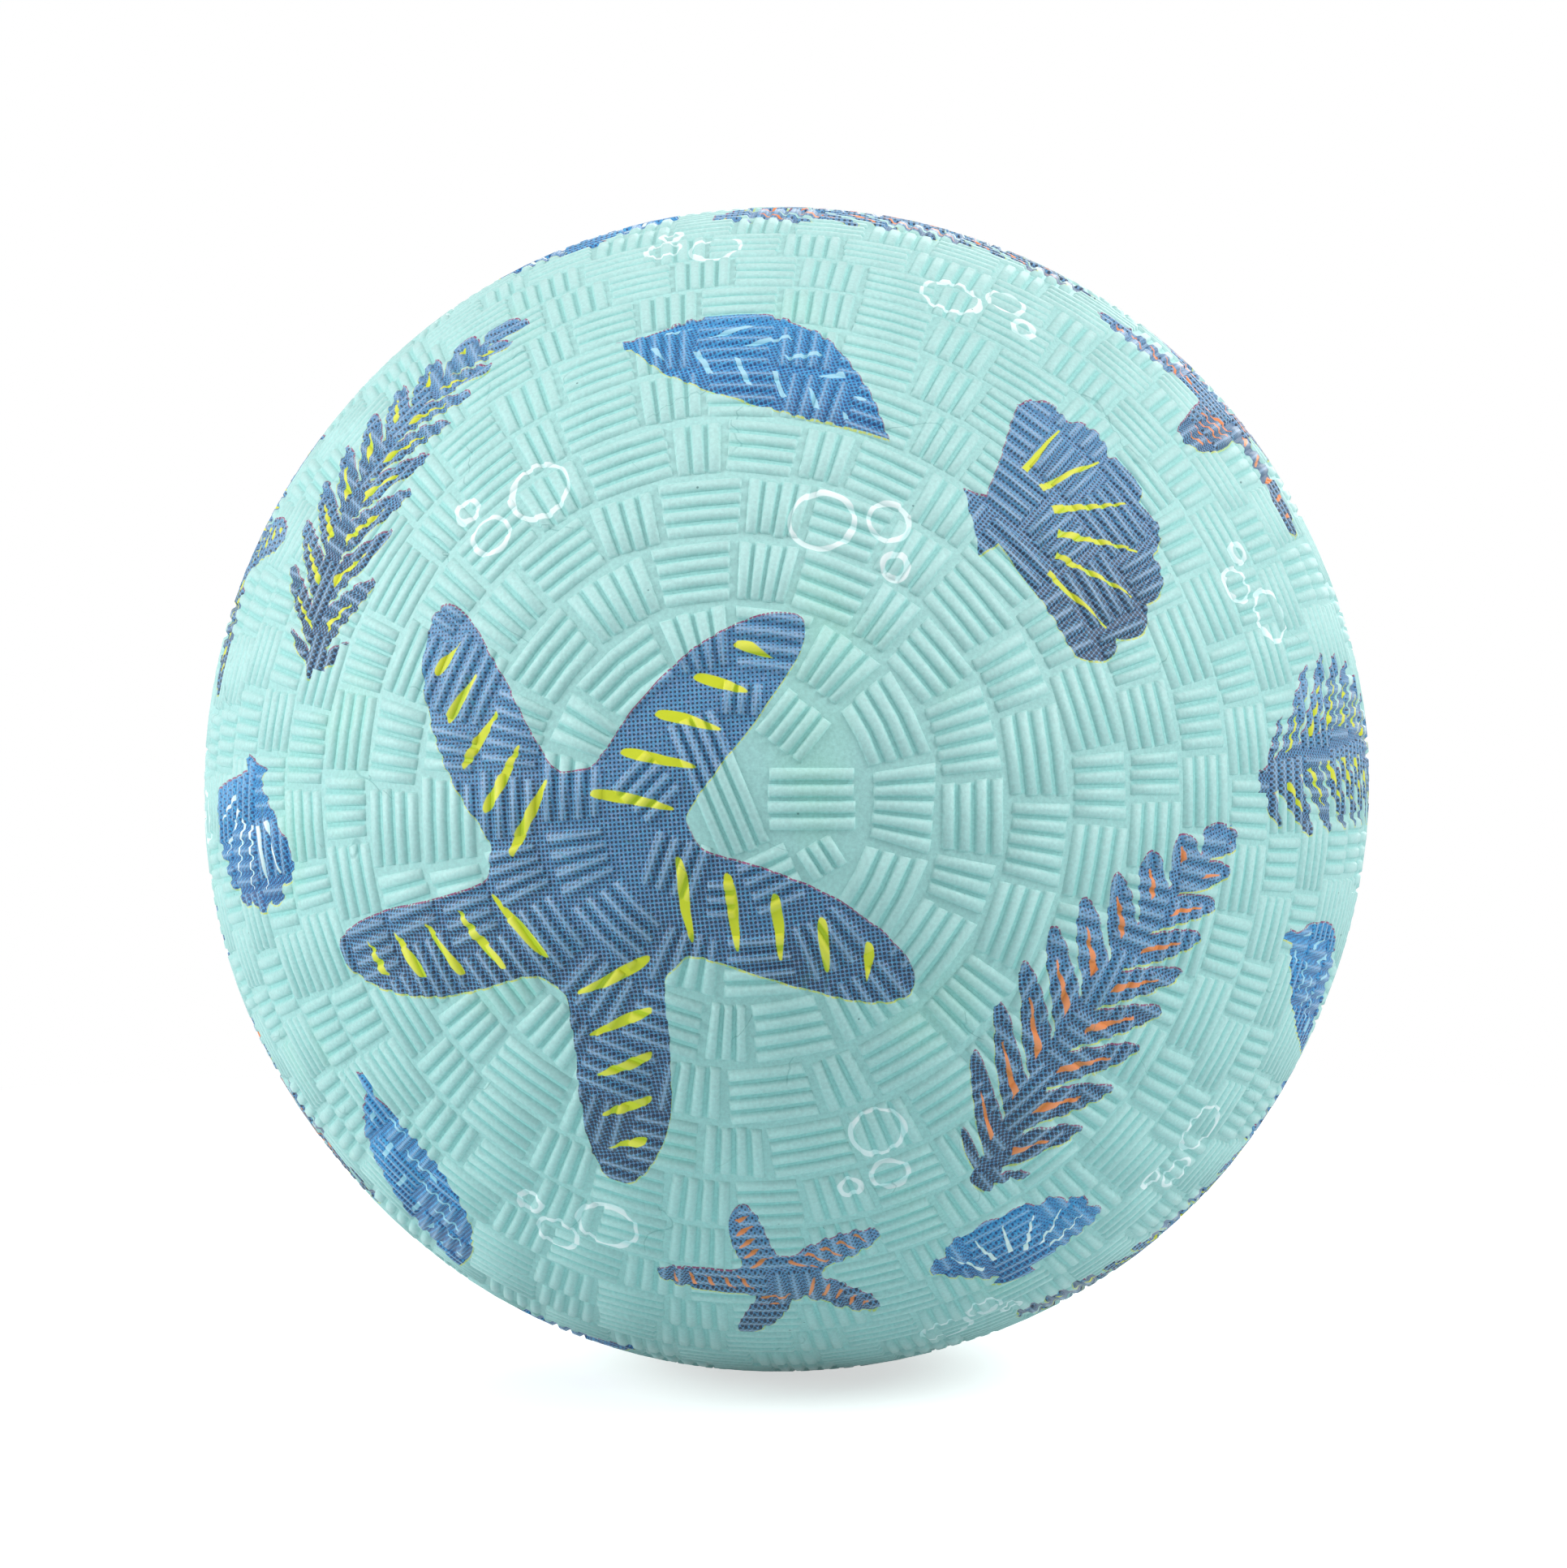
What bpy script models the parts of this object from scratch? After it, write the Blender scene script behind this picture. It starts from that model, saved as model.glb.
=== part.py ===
"""Mini play ball: a moulded rubber cover over an air bladder, with a needle valve at one pole.

Lengths are in metres, +Z is up and the origin is the centre of the ball. Every piece is turned about its own
Z axis, and the ball_axis empty lays that axis along +Y, so that the valve looks out towards +Y.
"""

import math

import bmesh
import bpy

# Cover, and the basket weave moulded into it
BALL_DIAMETER = 0.130  # over the crests of the ribs
COVER_WALL = 0.0016  # under the ribs
RIB_HEIGHT = 0.0005  # a little over the real one, so that the wider ribs still read
RIB_PITCH = 0.0033  # twice the real one, so that the whole weave fits in a few thousand faces
RIBS_PER_PATCH = 4
RIB_END_RUN = 0.0004  # length of the slope at each end of a rib
PATCH_GAP = 0.0007  # smooth ground left between two patches
LYING_SHARE = 0.54  # of a pair of patches, the share that the one with ribs round the ball takes
VALVE_LAND_DIAMETER = 0.022  # smooth round the valve

# Bladder and its patch
BLADDER_WALL = 0.0011
PATCH_DIAMETER = 0.032
PATCH_THICKNESS = 0.0008

# Valve housing
FLANGE_DIAMETER = 0.026
FLANGE_THICKNESS = 0.0012
NECK_WALL = 0.0012  # round the head of the plug
BODY_WALL = 0.0026  # round the bore
BODY_FLOOR = 0.0018
BODY_END_RADIUS = 0.0010
AIR_HOLE_DIAMETER = 0.0024  # in the floor of the body
MOUTH_RECESS = 0.0003  # mouth below the edge of the land

# Valve plug and core
PLUG_HEAD_DIAMETER = 0.0074
PLUG_HEAD_THICKNESS = 0.0016
PLUG_HEAD_CHAMFER = 0.0003
PLUG_STEM_DIAMETER = 0.0054
PLUG_STEM_LENGTH = 0.0080
PLUG_BEAD_HEIGHT = 0.0005  # bead round the stem, which snaps into a groove of the bore
PLUG_BEAD_LENGTH = 0.0016
PLUG_BEAD_DEPTH = 0.0030  # from the head down to the middle of the bead
NEEDLE_HOLE_DIAMETER = 0.0016
NEEDLE_FUNNEL_DIAMETER = 0.0032
NEEDLE_FUNNEL_DEPTH = 0.0010
CORE_LENGTH = 0.0060
CORE_EDGE_RADIUS = 0.0008

# Clearance and fineness
SEAT_GAP = 0.0003  # between pieces that touch
TURN_STEPS = 24  # facets round the axis
BAND_ANGLE = math.pi / 16  # facets from pole to pole
ROUNDING_POINTS = 3  # segments of a rounded edge
LEAST_BAND_ANGLE = 0.01  # no facet edge comes closer than this to the end of an arc
SHARP_ANGLE = math.radians(20)  # edges sharper than this aren't shaded smooth
WELD_DISTANCE = 0.00001

# Radii of the concentric layers, from the outside in
CREST_RADIUS = BALL_DIAMETER / 2
GROUND_RADIUS = CREST_RADIUS - RIB_HEIGHT
COVER_INNER = GROUND_RADIUS - COVER_WALL
BLADDER_OUTER = COVER_INNER - SEAT_GAP
BLADDER_INNER = BLADDER_OUTER - BLADDER_WALL
PATCH_OUTER = BLADDER_INNER - SEAT_GAP
PATCH_INNER = PATCH_OUTER - PATCH_THICKNESS
FLANGE_OUTER = PATCH_INNER - SEAT_GAP
FLANGE_INNER = FLANGE_OUTER - FLANGE_THICKNESS

# Radii about the valve's axis
STEM_RADIUS = PLUG_STEM_DIAMETER / 2
BORE_RADIUS = STEM_RADIUS + SEAT_GAP
BODY_RADIUS = BORE_RADIUS + BODY_WALL
HEAD_RADIUS = PLUG_HEAD_DIAMETER / 2
MOUTH_RADIUS = HEAD_RADIUS + SEAT_GAP
NECK_RADIUS = MOUTH_RADIUS + NECK_WALL
VALVE_HOLE_RADIUS = NECK_RADIUS + SEAT_GAP
NEEDLE_RADIUS = NEEDLE_HOLE_DIAMETER / 2
LAND_RADIUS = VALVE_LAND_DIAMETER / 2
LAND_EDGE = math.asin(LAND_RADIUS / GROUND_RADIUS)  # its angle from the valve's pole

# One patch of the weave with the ground round it
PATCH_SIZE = RIBS_PER_PATCH * RIB_PITCH + PATCH_GAP
CHORD_SINK = PATCH_SIZE**2 / (8 * CREST_RADIUS)  # of a straight rib's middle below its ends

# Radii at the ends of the ribs, so that half of each rib lies outside its true sphere and half inside
WEAVE_GROUND = GROUND_RADIUS + CHORD_SINK / 2
WEAVE_CREST = CREST_RADIUS + CHORD_SINK / 2

# Heights along the valve's axis, from the mouth down
MOUTH_TOP = math.sqrt(GROUND_RADIUS**2 - VALVE_HOLE_RADIUS**2) - MOUTH_RECESS
HEAD_BOTTOM = MOUTH_TOP - PLUG_HEAD_THICKNESS
STEM_BOTTOM = HEAD_BOTTOM - PLUG_STEM_LENGTH
CORE_TOP = STEM_BOTTOM - SEAT_GAP
CORE_BOTTOM = CORE_TOP - CORE_LENGTH
BORE_BOTTOM = CORE_BOTTOM - SEAT_GAP
BODY_BOTTOM = BORE_BOTTOM - BODY_FLOOR

# Angles from the valve's pole that every layer has a facet edge at, so that the layers nest
PATCH_EDGE = math.asin(PATCH_DIAMETER / 2 / PATCH_OUTER)
FLANGE_EDGE = math.asin(FLANGE_DIAMETER / 2 / FLANGE_OUTER)
BAND_ANGLES = [BAND_ANGLE * i for i in range(1, math.ceil(math.pi / BAND_ANGLE))]
SHARED_ANGLES = sorted(BAND_ANGLES + [PATCH_EDGE, FLANGE_EDGE])

# Rubbers: name, linear colour and roughness
COVER_RUBBER = ("cover_rubber", (0.330, 0.600, 0.580), 0.55)
BLADDER_RUBBER = ("bladder_rubber", (0.030, 0.031, 0.034), 0.50)
PATCH_RUBBER = ("patch_rubber", (0.105, 0.108, 0.112), 0.60)
HOUSING_RUBBER = ("housing_rubber", (0.300, 0.560, 0.540), 0.50)
PLUG_RUBBER = ("plug_rubber", (0.620, 0.650, 0.640), 0.45)
GUM_RUBBER = ("gum_rubber", (0.430, 0.270, 0.110), 0.35)


def clear_scene():
    """Remove whatever the scene starts with."""
    for item in list(bpy.data.objects):
        bpy.data.objects.remove(item, do_unlink=True)


def rubber(name, colour, roughness):
    """A rubber of one colour."""
    material = bpy.data.materials.new(name)
    material.use_nodes = True
    shader = material.node_tree.nodes["Principled BSDF"]
    shader.inputs["Base Color"].default_value = (*colour, 1.0)
    shader.inputs["Roughness"].default_value = roughness
    shader.inputs["Metallic"].default_value = 0.0
    return material


def add_piece(name, mesh, material, axis, collection):
    """Put a finished mesh on the ball's axis as a named piece."""
    mesh.materials.append(material)
    mesh.shade_smooth()
    mesh.set_sharp_from_angle(angle=SHARP_ANGLE)
    piece = bpy.data.objects.new(name, mesh)
    collection.objects.link(piece)
    piece.parent = axis
    return piece


def arc(radius, first, last):
    """Points (across, up) on a circle round the ball's centre, between two angles from the valve's pole."""
    low, high = min(first, last), max(first, last)
    between = [a for a in SHARED_ANGLES if low + LEAST_BAND_ANGLE < a < high - LEAST_BAND_ANGLE]
    if first > last:
        between.reverse()
    return [(radius * math.sin(a), radius * math.cos(a)) for a in [first, *between, last]]


def rounding(across, up, radius, first, last):
    """Points on a rounded edge about a centre, between two angles from +X."""
    angles = [first + (last - first) * i / ROUNDING_POINTS for i in range(ROUNDING_POINTS + 1)]
    return [(across + radius * math.cos(a), up + radius * math.sin(a)) for a in angles]


def hole_angle(radius):
    """Angle from the valve's pole at which a layer meets the valve hole."""
    return math.asin(VALVE_HOLE_RADIUS / radius)


def turned(name, profile, closed, material, axis, collection):
    """Turn a profile of (across, up) points that runs down its outer side."""
    mesh = bpy.data.meshes.new(name)
    edges = [(i, i + 1) for i in range(len(profile) - 1)]
    if closed:
        edges.append((len(profile) - 1, 0))
    mesh.from_pydata([(x, 0, z) for x, z in profile], edges, [])
    piece = add_piece(name, mesh, material, axis, collection)
    screw = piece.modifiers.new("turn", "SCREW")
    screw.axis = "Z"
    screw.steps = TURN_STEPS
    screw.render_steps = TURN_STEPS
    screw.use_merge_vertices = True
    screw.merge_threshold = WELD_DISTANCE
    screw.use_smooth_shade = True
    return piece


def on_sphere(radius, polar, azimuth):
    """A point of the ball, by its angle from the valve's pole and its angle round the axis."""
    across = radius * math.sin(polar)
    return (across * math.cos(azimuth), across * math.sin(azimuth), radius * math.cos(polar))


def zip_rows(bm, first, second):
    """Fill the band between two rows of (place, vertex) with triangles, in step with their places."""
    i = j = 0
    while i < len(first) - 1 or j < len(second) - 1:
        first_next = first[i + 1][0] if i < len(first) - 1 else math.inf
        second_next = second[j + 1][0] if j < len(second) - 1 else math.inf
        if first_next <= second_next:
            bm.faces.new((first[i][1], first[i + 1][1], second[j][1]))
            i += 1
        else:
            bm.faces.new((first[i][1], second[j + 1][1], second[j][1]))
            j += 1


def closed_row(verts):
    """Vertices round the axis in order of azimuth, with the first repeated a full turn on."""
    row = [(math.atan2(v.co.y, v.co.x) % math.tau, v) for v in verts]
    row.sort(key=lambda item: item[0])
    return [*row, (row[0][0] + math.tau, row[0][1])]


def side_row(verts):
    """Vertices of a patch's side in order from the valve's pole down."""
    return [(-v.co.z, v) for v in verts]


def ribbed_patch(bm, place, end_share):
    """Add a patch of hipped ribs and return the two rows of vertices at the ends of the ribs.

    place(along, over, radius) gives a point, with along and over running from 0 to 1 over the patch.
    """
    count = RIBS_PER_PATCH
    ends = [
        [bm.verts.new(place(along, i / count, WEAVE_GROUND)) for i in range(count + 1)]
        for along in (0, 1)
    ]
    crests = [
        [bm.verts.new(place(along, (i + 0.5) / count, WEAVE_CREST)) for i in range(count)]
        for along in (end_share, 1 - end_share)
    ]
    for i in range(count):
        bm.faces.new((ends[0][i], ends[1][i], crests[1][i], crests[0][i]))
        bm.faces.new((ends[1][i + 1], ends[0][i + 1], crests[0][i], crests[1][i]))
        bm.faces.new((ends[0][i + 1], ends[0][i], crests[0][i]))
        bm.faces.new((ends[1][i], ends[1][i + 1], crests[1][i]))
    return ends


def patch_place(top, bottom, left, width, lying):
    """Return the function that gives the points of a patch between two polar angles and two azimuths."""

    def place(along, over, radius):
        down, round_axis = (over, along) if lying else (along, over)
        return on_sphere(radius, top + (bottom - top) * down, left + width * round_axis)

    return place


def weave_ring(bm, top, bottom, ring):
    """Add one ring of patches, lying and standing ribs by turns, and return its upper and lower rows."""
    girth = GROUND_RADIUS * math.sin((top + bottom) / 2)
    pairs = max(2, round(math.pi * girth / PATCH_SIZE))
    pair_angle = math.tau / pairs
    gap_angle = PATCH_GAP / girth
    start = PATCH_SIZE / girth * (ring % 2)
    upper, lower, sides = [], [], []
    for i in range(2 * pairs):
        lying = i % 2 == 0
        share = LYING_SHARE if lying else 1 - LYING_SHARE
        left = start + pair_angle * (i // 2 + (0 if lying else LYING_SHARE)) + gap_angle / 2
        width = pair_angle * share - gap_angle
        rib_length = width * girth if lying else (bottom - top) * GROUND_RADIUS
        place = patch_place(top, bottom, left, width, lying)
        first, last = ribbed_patch(bm, place, RIB_END_RUN / rib_length)
        if lying:
            upper += [first[0], last[0]]
            lower += [first[-1], last[-1]]
            sides.append((first, last))
        else:
            upper += first
            lower += last
            sides.append(([first[0], last[0]], [first[-1], last[-1]]))
    for i, (left_side, _) in enumerate(sides):
        zip_rows(bm, side_row(sides[i - 1][1]), side_row(left_side))
    return closed_row(upper), closed_row(lower)


def pole_patch(bm):
    """Add the one square patch at the pole opposite the valve and return its rim."""
    size = RIBS_PER_PATCH * RIB_PITCH

    def place(along, over, radius):
        x = size * (along - 0.5)
        y = size * (over - 0.5)
        return (x, y, -math.sqrt(radius**2 - x**2 - y**2))

    ends = ribbed_patch(bm, place, RIB_END_RUN / size)
    return closed_row([*ends[0], *ends[1]])


def woven_face(bm, land_rim):
    """Cover the ball with rings of patches, from the rim of the valve's land to the far pole."""
    gap_angle = PATCH_GAP / GROUND_RADIUS
    pole_patch_corner = math.pi - math.asin(PATCH_SIZE * math.sqrt(0.5) / GROUND_RADIUS)
    rings = max(2, round((pole_patch_corner - LAND_EDGE) * GROUND_RADIUS / PATCH_SIZE))
    ring_angle = (pole_patch_corner - LAND_EDGE) / rings
    row_above = land_rim
    for ring in range(rings):
        top = LAND_EDGE + ring_angle * ring + gap_angle / 2
        upper, lower = weave_ring(bm, top, top + ring_angle - gap_angle, ring)
        zip_rows(bm, row_above, upper)
        row_above = lower
    zip_rows(bm, row_above, pole_patch(bm))


def rubber_cover(axis, collection):
    """The moulded shell: a turned lining, valve hole and land, closed by the woven outer face."""
    lining = arc(COVER_INNER, math.pi, hole_angle(COVER_INNER))
    land = arc(GROUND_RADIUS, hole_angle(GROUND_RADIUS), LAND_EDGE)
    profile = [*lining, *land]
    bm = bmesh.new()
    verts = [bm.verts.new((x, 0, z)) for x, z in profile]
    edges = [bm.edges.new(pair) for pair in zip(verts, verts[1:])]
    bmesh.ops.spin(bm, geom=verts + edges, cent=(0, 0, 0), axis=(0, 0, 1), angle=math.tau, steps=TURN_STEPS)
    bmesh.ops.remove_doubles(bm, verts=bm.verts, dist=WELD_DISTANCE)
    woven_face(bm, closed_row([v for v in bm.verts if v.is_boundary]))
    bmesh.ops.recalc_face_normals(bm, faces=bm.faces)
    mesh = bpy.data.meshes.new("rubber_cover")
    bm.to_mesh(mesh)
    bm.free()
    add_piece("rubber_cover", mesh, rubber(*COVER_RUBBER), axis, collection)


def bladder(axis, collection):
    """The thin ply that holds the air, open at the valve."""
    inside = arc(BLADDER_INNER, math.pi, hole_angle(BLADDER_INNER))
    outside = arc(BLADDER_OUTER, hole_angle(BLADDER_OUTER), math.pi)
    turned("bladder", [*inside, *outside], False, rubber(*BLADDER_RUBBER), axis, collection)


def valve_patch(axis, collection):
    """The reinforcing disc between the bladder and the flange of the valve."""
    outside = arc(PATCH_OUTER, hole_angle(PATCH_OUTER), PATCH_EDGE)
    inside = arc(PATCH_INNER, PATCH_EDGE, hole_angle(PATCH_INNER))
    turned("valve_patch", [*outside, *inside], True, rubber(*PATCH_RUBBER), axis, collection)


def valve_housing(axis, collection):
    """Neck, flange and body in one moulding, with the bore that holds the plug and the core."""
    flange_top = arc(FLANGE_OUTER, math.asin(NECK_RADIUS / FLANGE_OUTER), FLANGE_EDGE)
    flange_under = arc(FLANGE_INNER, FLANGE_EDGE, math.asin(BODY_RADIUS / FLANGE_INNER))
    end_across = BODY_RADIUS - BODY_END_RADIUS
    body_end = rounding(end_across, BODY_BOTTOM + BODY_END_RADIUS, BODY_END_RADIUS, 0, -math.pi / 2)
    air_hole = AIR_HOLE_DIAMETER / 2
    groove_radius = BORE_RADIUS + PLUG_BEAD_HEIGHT
    groove_middle = HEAD_BOTTOM - PLUG_BEAD_DEPTH
    groove_half = PLUG_BEAD_LENGTH / 2 + SEAT_GAP
    bore = [
        (air_hole, BODY_BOTTOM),
        (air_hole, BORE_BOTTOM),
        (BORE_RADIUS, BORE_BOTTOM),
        (BORE_RADIUS, groove_middle - groove_half),
        (groove_radius, groove_middle),
        (BORE_RADIUS, groove_middle + groove_half),
        (BORE_RADIUS, HEAD_BOTTOM - SEAT_GAP),
        (MOUTH_RADIUS, HEAD_BOTTOM - SEAT_GAP),
        (MOUTH_RADIUS, MOUTH_TOP),
    ]
    profile = [(NECK_RADIUS, MOUTH_TOP), *flange_top, *flange_under, *body_end, *bore]
    turned("valve_housing", profile, True, rubber(*HOUSING_RUBBER), axis, collection)


def valve_plug(axis, collection):
    """The mushroom insert: a flat head flush with the mouth, a stem with a bead, and the needle hole."""
    bead_middle = HEAD_BOTTOM - PLUG_BEAD_DEPTH
    bead_half = PLUG_BEAD_LENGTH / 2
    profile = [
        (NEEDLE_FUNNEL_DIAMETER / 2, MOUTH_TOP),
        (HEAD_RADIUS - PLUG_HEAD_CHAMFER, MOUTH_TOP),
        (HEAD_RADIUS, MOUTH_TOP - PLUG_HEAD_CHAMFER),
        (HEAD_RADIUS, HEAD_BOTTOM),
        (STEM_RADIUS, HEAD_BOTTOM),
        (STEM_RADIUS, bead_middle + bead_half),
        (STEM_RADIUS + PLUG_BEAD_HEIGHT, bead_middle),
        (STEM_RADIUS, bead_middle - bead_half),
        (STEM_RADIUS, STEM_BOTTOM),
        (NEEDLE_RADIUS, STEM_BOTTOM),
        (NEEDLE_RADIUS, MOUTH_TOP - NEEDLE_FUNNEL_DEPTH),
    ]
    turned("valve_plug", profile, True, rubber(*PLUG_RUBBER), axis, collection)


def valve_core(axis, collection):
    """The soft gum pill under the plug, which closes behind the needle."""
    edge = CORE_EDGE_RADIUS
    top_edge = rounding(STEM_RADIUS - edge, CORE_TOP - edge, edge, math.pi / 2, 0)
    bottom_edge = rounding(STEM_RADIUS - edge, CORE_BOTTOM + edge, edge, 0, -math.pi / 2)
    profile = [(0, CORE_TOP), *top_edge, *bottom_edge, (0, CORE_BOTTOM)]
    turned("valve_core", profile, False, rubber(*GUM_RUBBER), axis, collection)


def main():
    clear_scene()
    collection = bpy.data.collections.new("mini_play_ball")
    bpy.context.scene.collection.children.link(collection)
    axis = bpy.data.objects.new("ball_axis", None)
    axis.rotation_euler = (-math.pi / 2, 0, 0)
    collection.objects.link(axis)
    for make in (rubber_cover, bladder, valve_patch, valve_housing, valve_plug, valve_core):
        make(axis, collection)


main()
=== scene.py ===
"""Looks of the mini play ball: its moulded cover with the basket weave and the printed seashore design,
the rubber valve at the back, a pale floor, soft light and the camera."""
import math
import random

import bmesh
import bpy
import numpy as np
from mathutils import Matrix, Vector
from mathutils.geometry import delaunay_2d_cdt


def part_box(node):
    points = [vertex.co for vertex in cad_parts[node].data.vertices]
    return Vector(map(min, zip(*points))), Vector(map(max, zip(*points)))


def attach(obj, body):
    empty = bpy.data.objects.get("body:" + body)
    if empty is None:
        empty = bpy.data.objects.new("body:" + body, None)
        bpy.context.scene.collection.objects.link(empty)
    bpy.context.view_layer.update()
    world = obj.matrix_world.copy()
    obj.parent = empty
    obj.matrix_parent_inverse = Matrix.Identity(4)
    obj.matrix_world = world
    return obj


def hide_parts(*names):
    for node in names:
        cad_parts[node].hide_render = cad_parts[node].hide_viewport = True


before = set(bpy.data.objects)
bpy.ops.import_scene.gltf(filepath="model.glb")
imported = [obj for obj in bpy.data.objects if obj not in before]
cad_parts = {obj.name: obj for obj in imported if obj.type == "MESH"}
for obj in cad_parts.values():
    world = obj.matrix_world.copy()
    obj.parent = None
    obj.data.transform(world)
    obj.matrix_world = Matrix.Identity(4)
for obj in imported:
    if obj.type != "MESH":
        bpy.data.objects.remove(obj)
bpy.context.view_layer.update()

MM = 0.001

# Cover: it lies on the frame's bladder, and its weave comes from the mould
BLADDER_LOW, BLADDER_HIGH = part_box("bladder")
BLADDER_RADIUS = (BLADDER_HIGH.x - BLADDER_LOW.x) / 2
SEAT_GAP = 0.3 * MM
COVER_WALL = 1.76 * MM
RIB_HEIGHT = 0.34 * MM
OUT_OF_TRUE = 0.3 * MM  # most that the blown-up ball swells out of its sphere
INNER_RADIUS = BLADDER_RADIUS + SEAT_GAP
GROUND_RADIUS = INNER_RADIUS + COVER_WALL
CREST_RADIUS = GROUND_RADIUS + RIB_HEIGHT
RING_PITCH = 7.0 * MM
LYING_WIDTH = 8.0 * MM
LYING_SPREAD = (0.88, 1.12)  # least and most of that width
LYING_RIBS = 4
STANDING_PITCH = 1.6 * MM
STANDING_SPREAD = (0.95, 1.1)  # least and most of that pitch
STANDING_RIBS = (4, 4, 4, 5, 4, 3)  # to draw from: four is the most common number
LEAST_PAIRS = 3  # of a lying and a standing patch in a ring
RIB_FOOT = 0.4  # half a rib's width at its foot, in pitches
RIB_CREST = 0.21  # half its width at its crest
RIB_END_RUN = 0.26 * MM  # length of the slope at each end
RIB_END_STRAY = 0.25 * MM  # most that a rib's end stops short of its patch's edge
RIB_LEAST_HEIGHT = 0.85  # of the lowest ribs, as a share of the rib height
BORDER_GROOVE_SHADE = 0.4  # how much of a groove's painted shade a patch's border has
PATCH_GAP = 0.4 * MM
PATCH_BOW = 0.22 * MM  # most that a patch's corners bow out to keep its ribs straight
PATCH_TILT = math.radians(1.6)  # most that a patch lies askew
# Nearer to a pole than this, patches lie up to twice as far apart and three times as askew
LOOSE_ANGLE = math.radians(55)
ROW_WAVE = 0.45 * MM  # most that a ring strays from its circle
WEAVE_SEED = 5
FILL_INSIDE, FILL_TOLERANCE = 1, 1e-9  # for Delaunay triangles: kept inside their outline only
POLE_CAP_RADIUS = 12.6 * MM
# Patches over the front pole, in millimetres: right and up of it, turn of the ribs, ribs, pitch, length
POLE_PATCHES = (
    (-1.6, 1.8, -67, 4, 1.3, 14.2),
    (7.3, 0.4, 0, 4, 1.55, 8.4),
    (-8.45, 1.4, 47, 4, 1.38, 5.2),
    (-5.7, -6.0, 70, 4, 1.5, 5.8),
    (3.5, -7.35, 25, 4, 1.5, 5.4),
    (5.6, 7.3, 52, 4, 1.4, 5.2),
    (8.2, -5.2, -58, 3, 1.3, 3.4),
    (0.65, 9.9, 85, 3, 1.35, 3.6),
    (-1.3, -9.2, 0, 3, 1.35, 3.0),
)
PARTING_WIDTH = 0.5 * MM
PARTING_HEIGHT = 0.1 * MM
PARTING_STEPS = 360

# Valve land and hole at the back
LAND_RADIUS = 11.0 * MM
HOLE_RADIUS = 5.5 * MM
HOLE_EDGE = 0.5 * MM
LAND_ROWS = 4
TURN_STEPS = 96
INNER_ROWS = 20
INNER_SWEEP = math.pi - 0.1  # from the hole's edge to the far pole

# Valve pieces, turned about the Y axis
NECK_RADIUS = 5.2 * MM
MOUTH_RADIUS = 4.0 * MM
BORE_RADIUS = 3.0 * MM
BODY_RADIUS = 5.6 * MM
FLANGE_THICKNESS = 1.2 * MM
HEAD_THICKNESS = 1.6 * MM
STEM_RADIUS = 2.7 * MM
NEEDLE_RADIUS = 0.8 * MM
FUNNEL_RADIUS = 1.6 * MM
FUNNEL_DEPTH = 1.0 * MM
AIR_HOLE_RADIUS = 1.2 * MM
BODY_FLOOR = 1.8 * MM
EDGE_ROUND = 0.35 * MM
SMALL_ROUND = 0.2 * MM
SEAT_ROUND = 0.15 * MM
FLANGE_FOOT_ROUND = 0.8 * MM
BODY_ROUND = 1.0 * MM
STEM_ROUND = 0.4 * MM
FUNNEL_ROUND = 0.3 * MM
GUM_ROUND = 0.8 * MM
ROUND_STEPS = 5
WELD = 0.001 * MM
SHARP_ANGLE = math.radians(50)
BLADDER_WALL = 1.1 * MM
DISC_THICKNESS = 0.8 * MM
DISC_CROWN = BLADDER_RADIUS - BLADDER_WALL - SEAT_GAP
FLANGE_CROWN = DISC_CROWN - DISC_THICKNESS - SEAT_GAP
PLY_ROWS = 40

# Printed design: sizes in millimetres on the ball. A motif's reach is half the ground that it may take
REACH = {"starfish": (26.0, 26.0), "frond": (25.5, 13.0), "shell": (13.2, 10.8), "leaf": (14.4, 7.8),
         "bubbles": (10.4, 8.2)}
STAR_ARMS = 5
STAR_ARM = 24.0
STAR_DASHES = (5.6, 20.6)  # how far along an arm they start and stop
STAR_DASH_STEP = 3.4
FROND_LENGTH = 46.0
FROND_WIDTH = 9.5
FROND_BOW = (-0.011, 2.4)  # bend of its midline, and how high it lies in the middle
FROND_STEP = 5.0
SHELL_HEIGHT = 17.0
SHELL_FOLD = math.radians(17)
LEAF_LENGTH = 25.0
LEAF_WIDTH = 5.2
LEAF_BOW = (-0.016, 1.2)
VEIN_STEP = 3.6
BUBBLE_RINGS = (((-3.6, -1.2, 0), 3.4), ((2.9, 1.8, 0), 2.3), ((5.4, -2.8, 0), 1.4))  # middle, radius
FAR_OUTSIDE = 99.0  # where there is no shape
EDGE_SOFT = 0.06
# The print's dots lie 0.38 mm apart; they are drawn a little coarser, or they wouldn't show
DOT_PITCH = 0.42
DOT_SOFT = 0.07  # of a dot's edge, as a share of the pitch
SCREEN_ANGLE = math.radians(45)
PLATE_SLIP = 0.2
# How far two plates slipped down the motif, and the colour that each leaves beyond its edge
FRINGES = ((-PLATE_SLIP, "#C6CC6A"), (PLATE_SLIP, "#8E3A68"))

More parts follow.
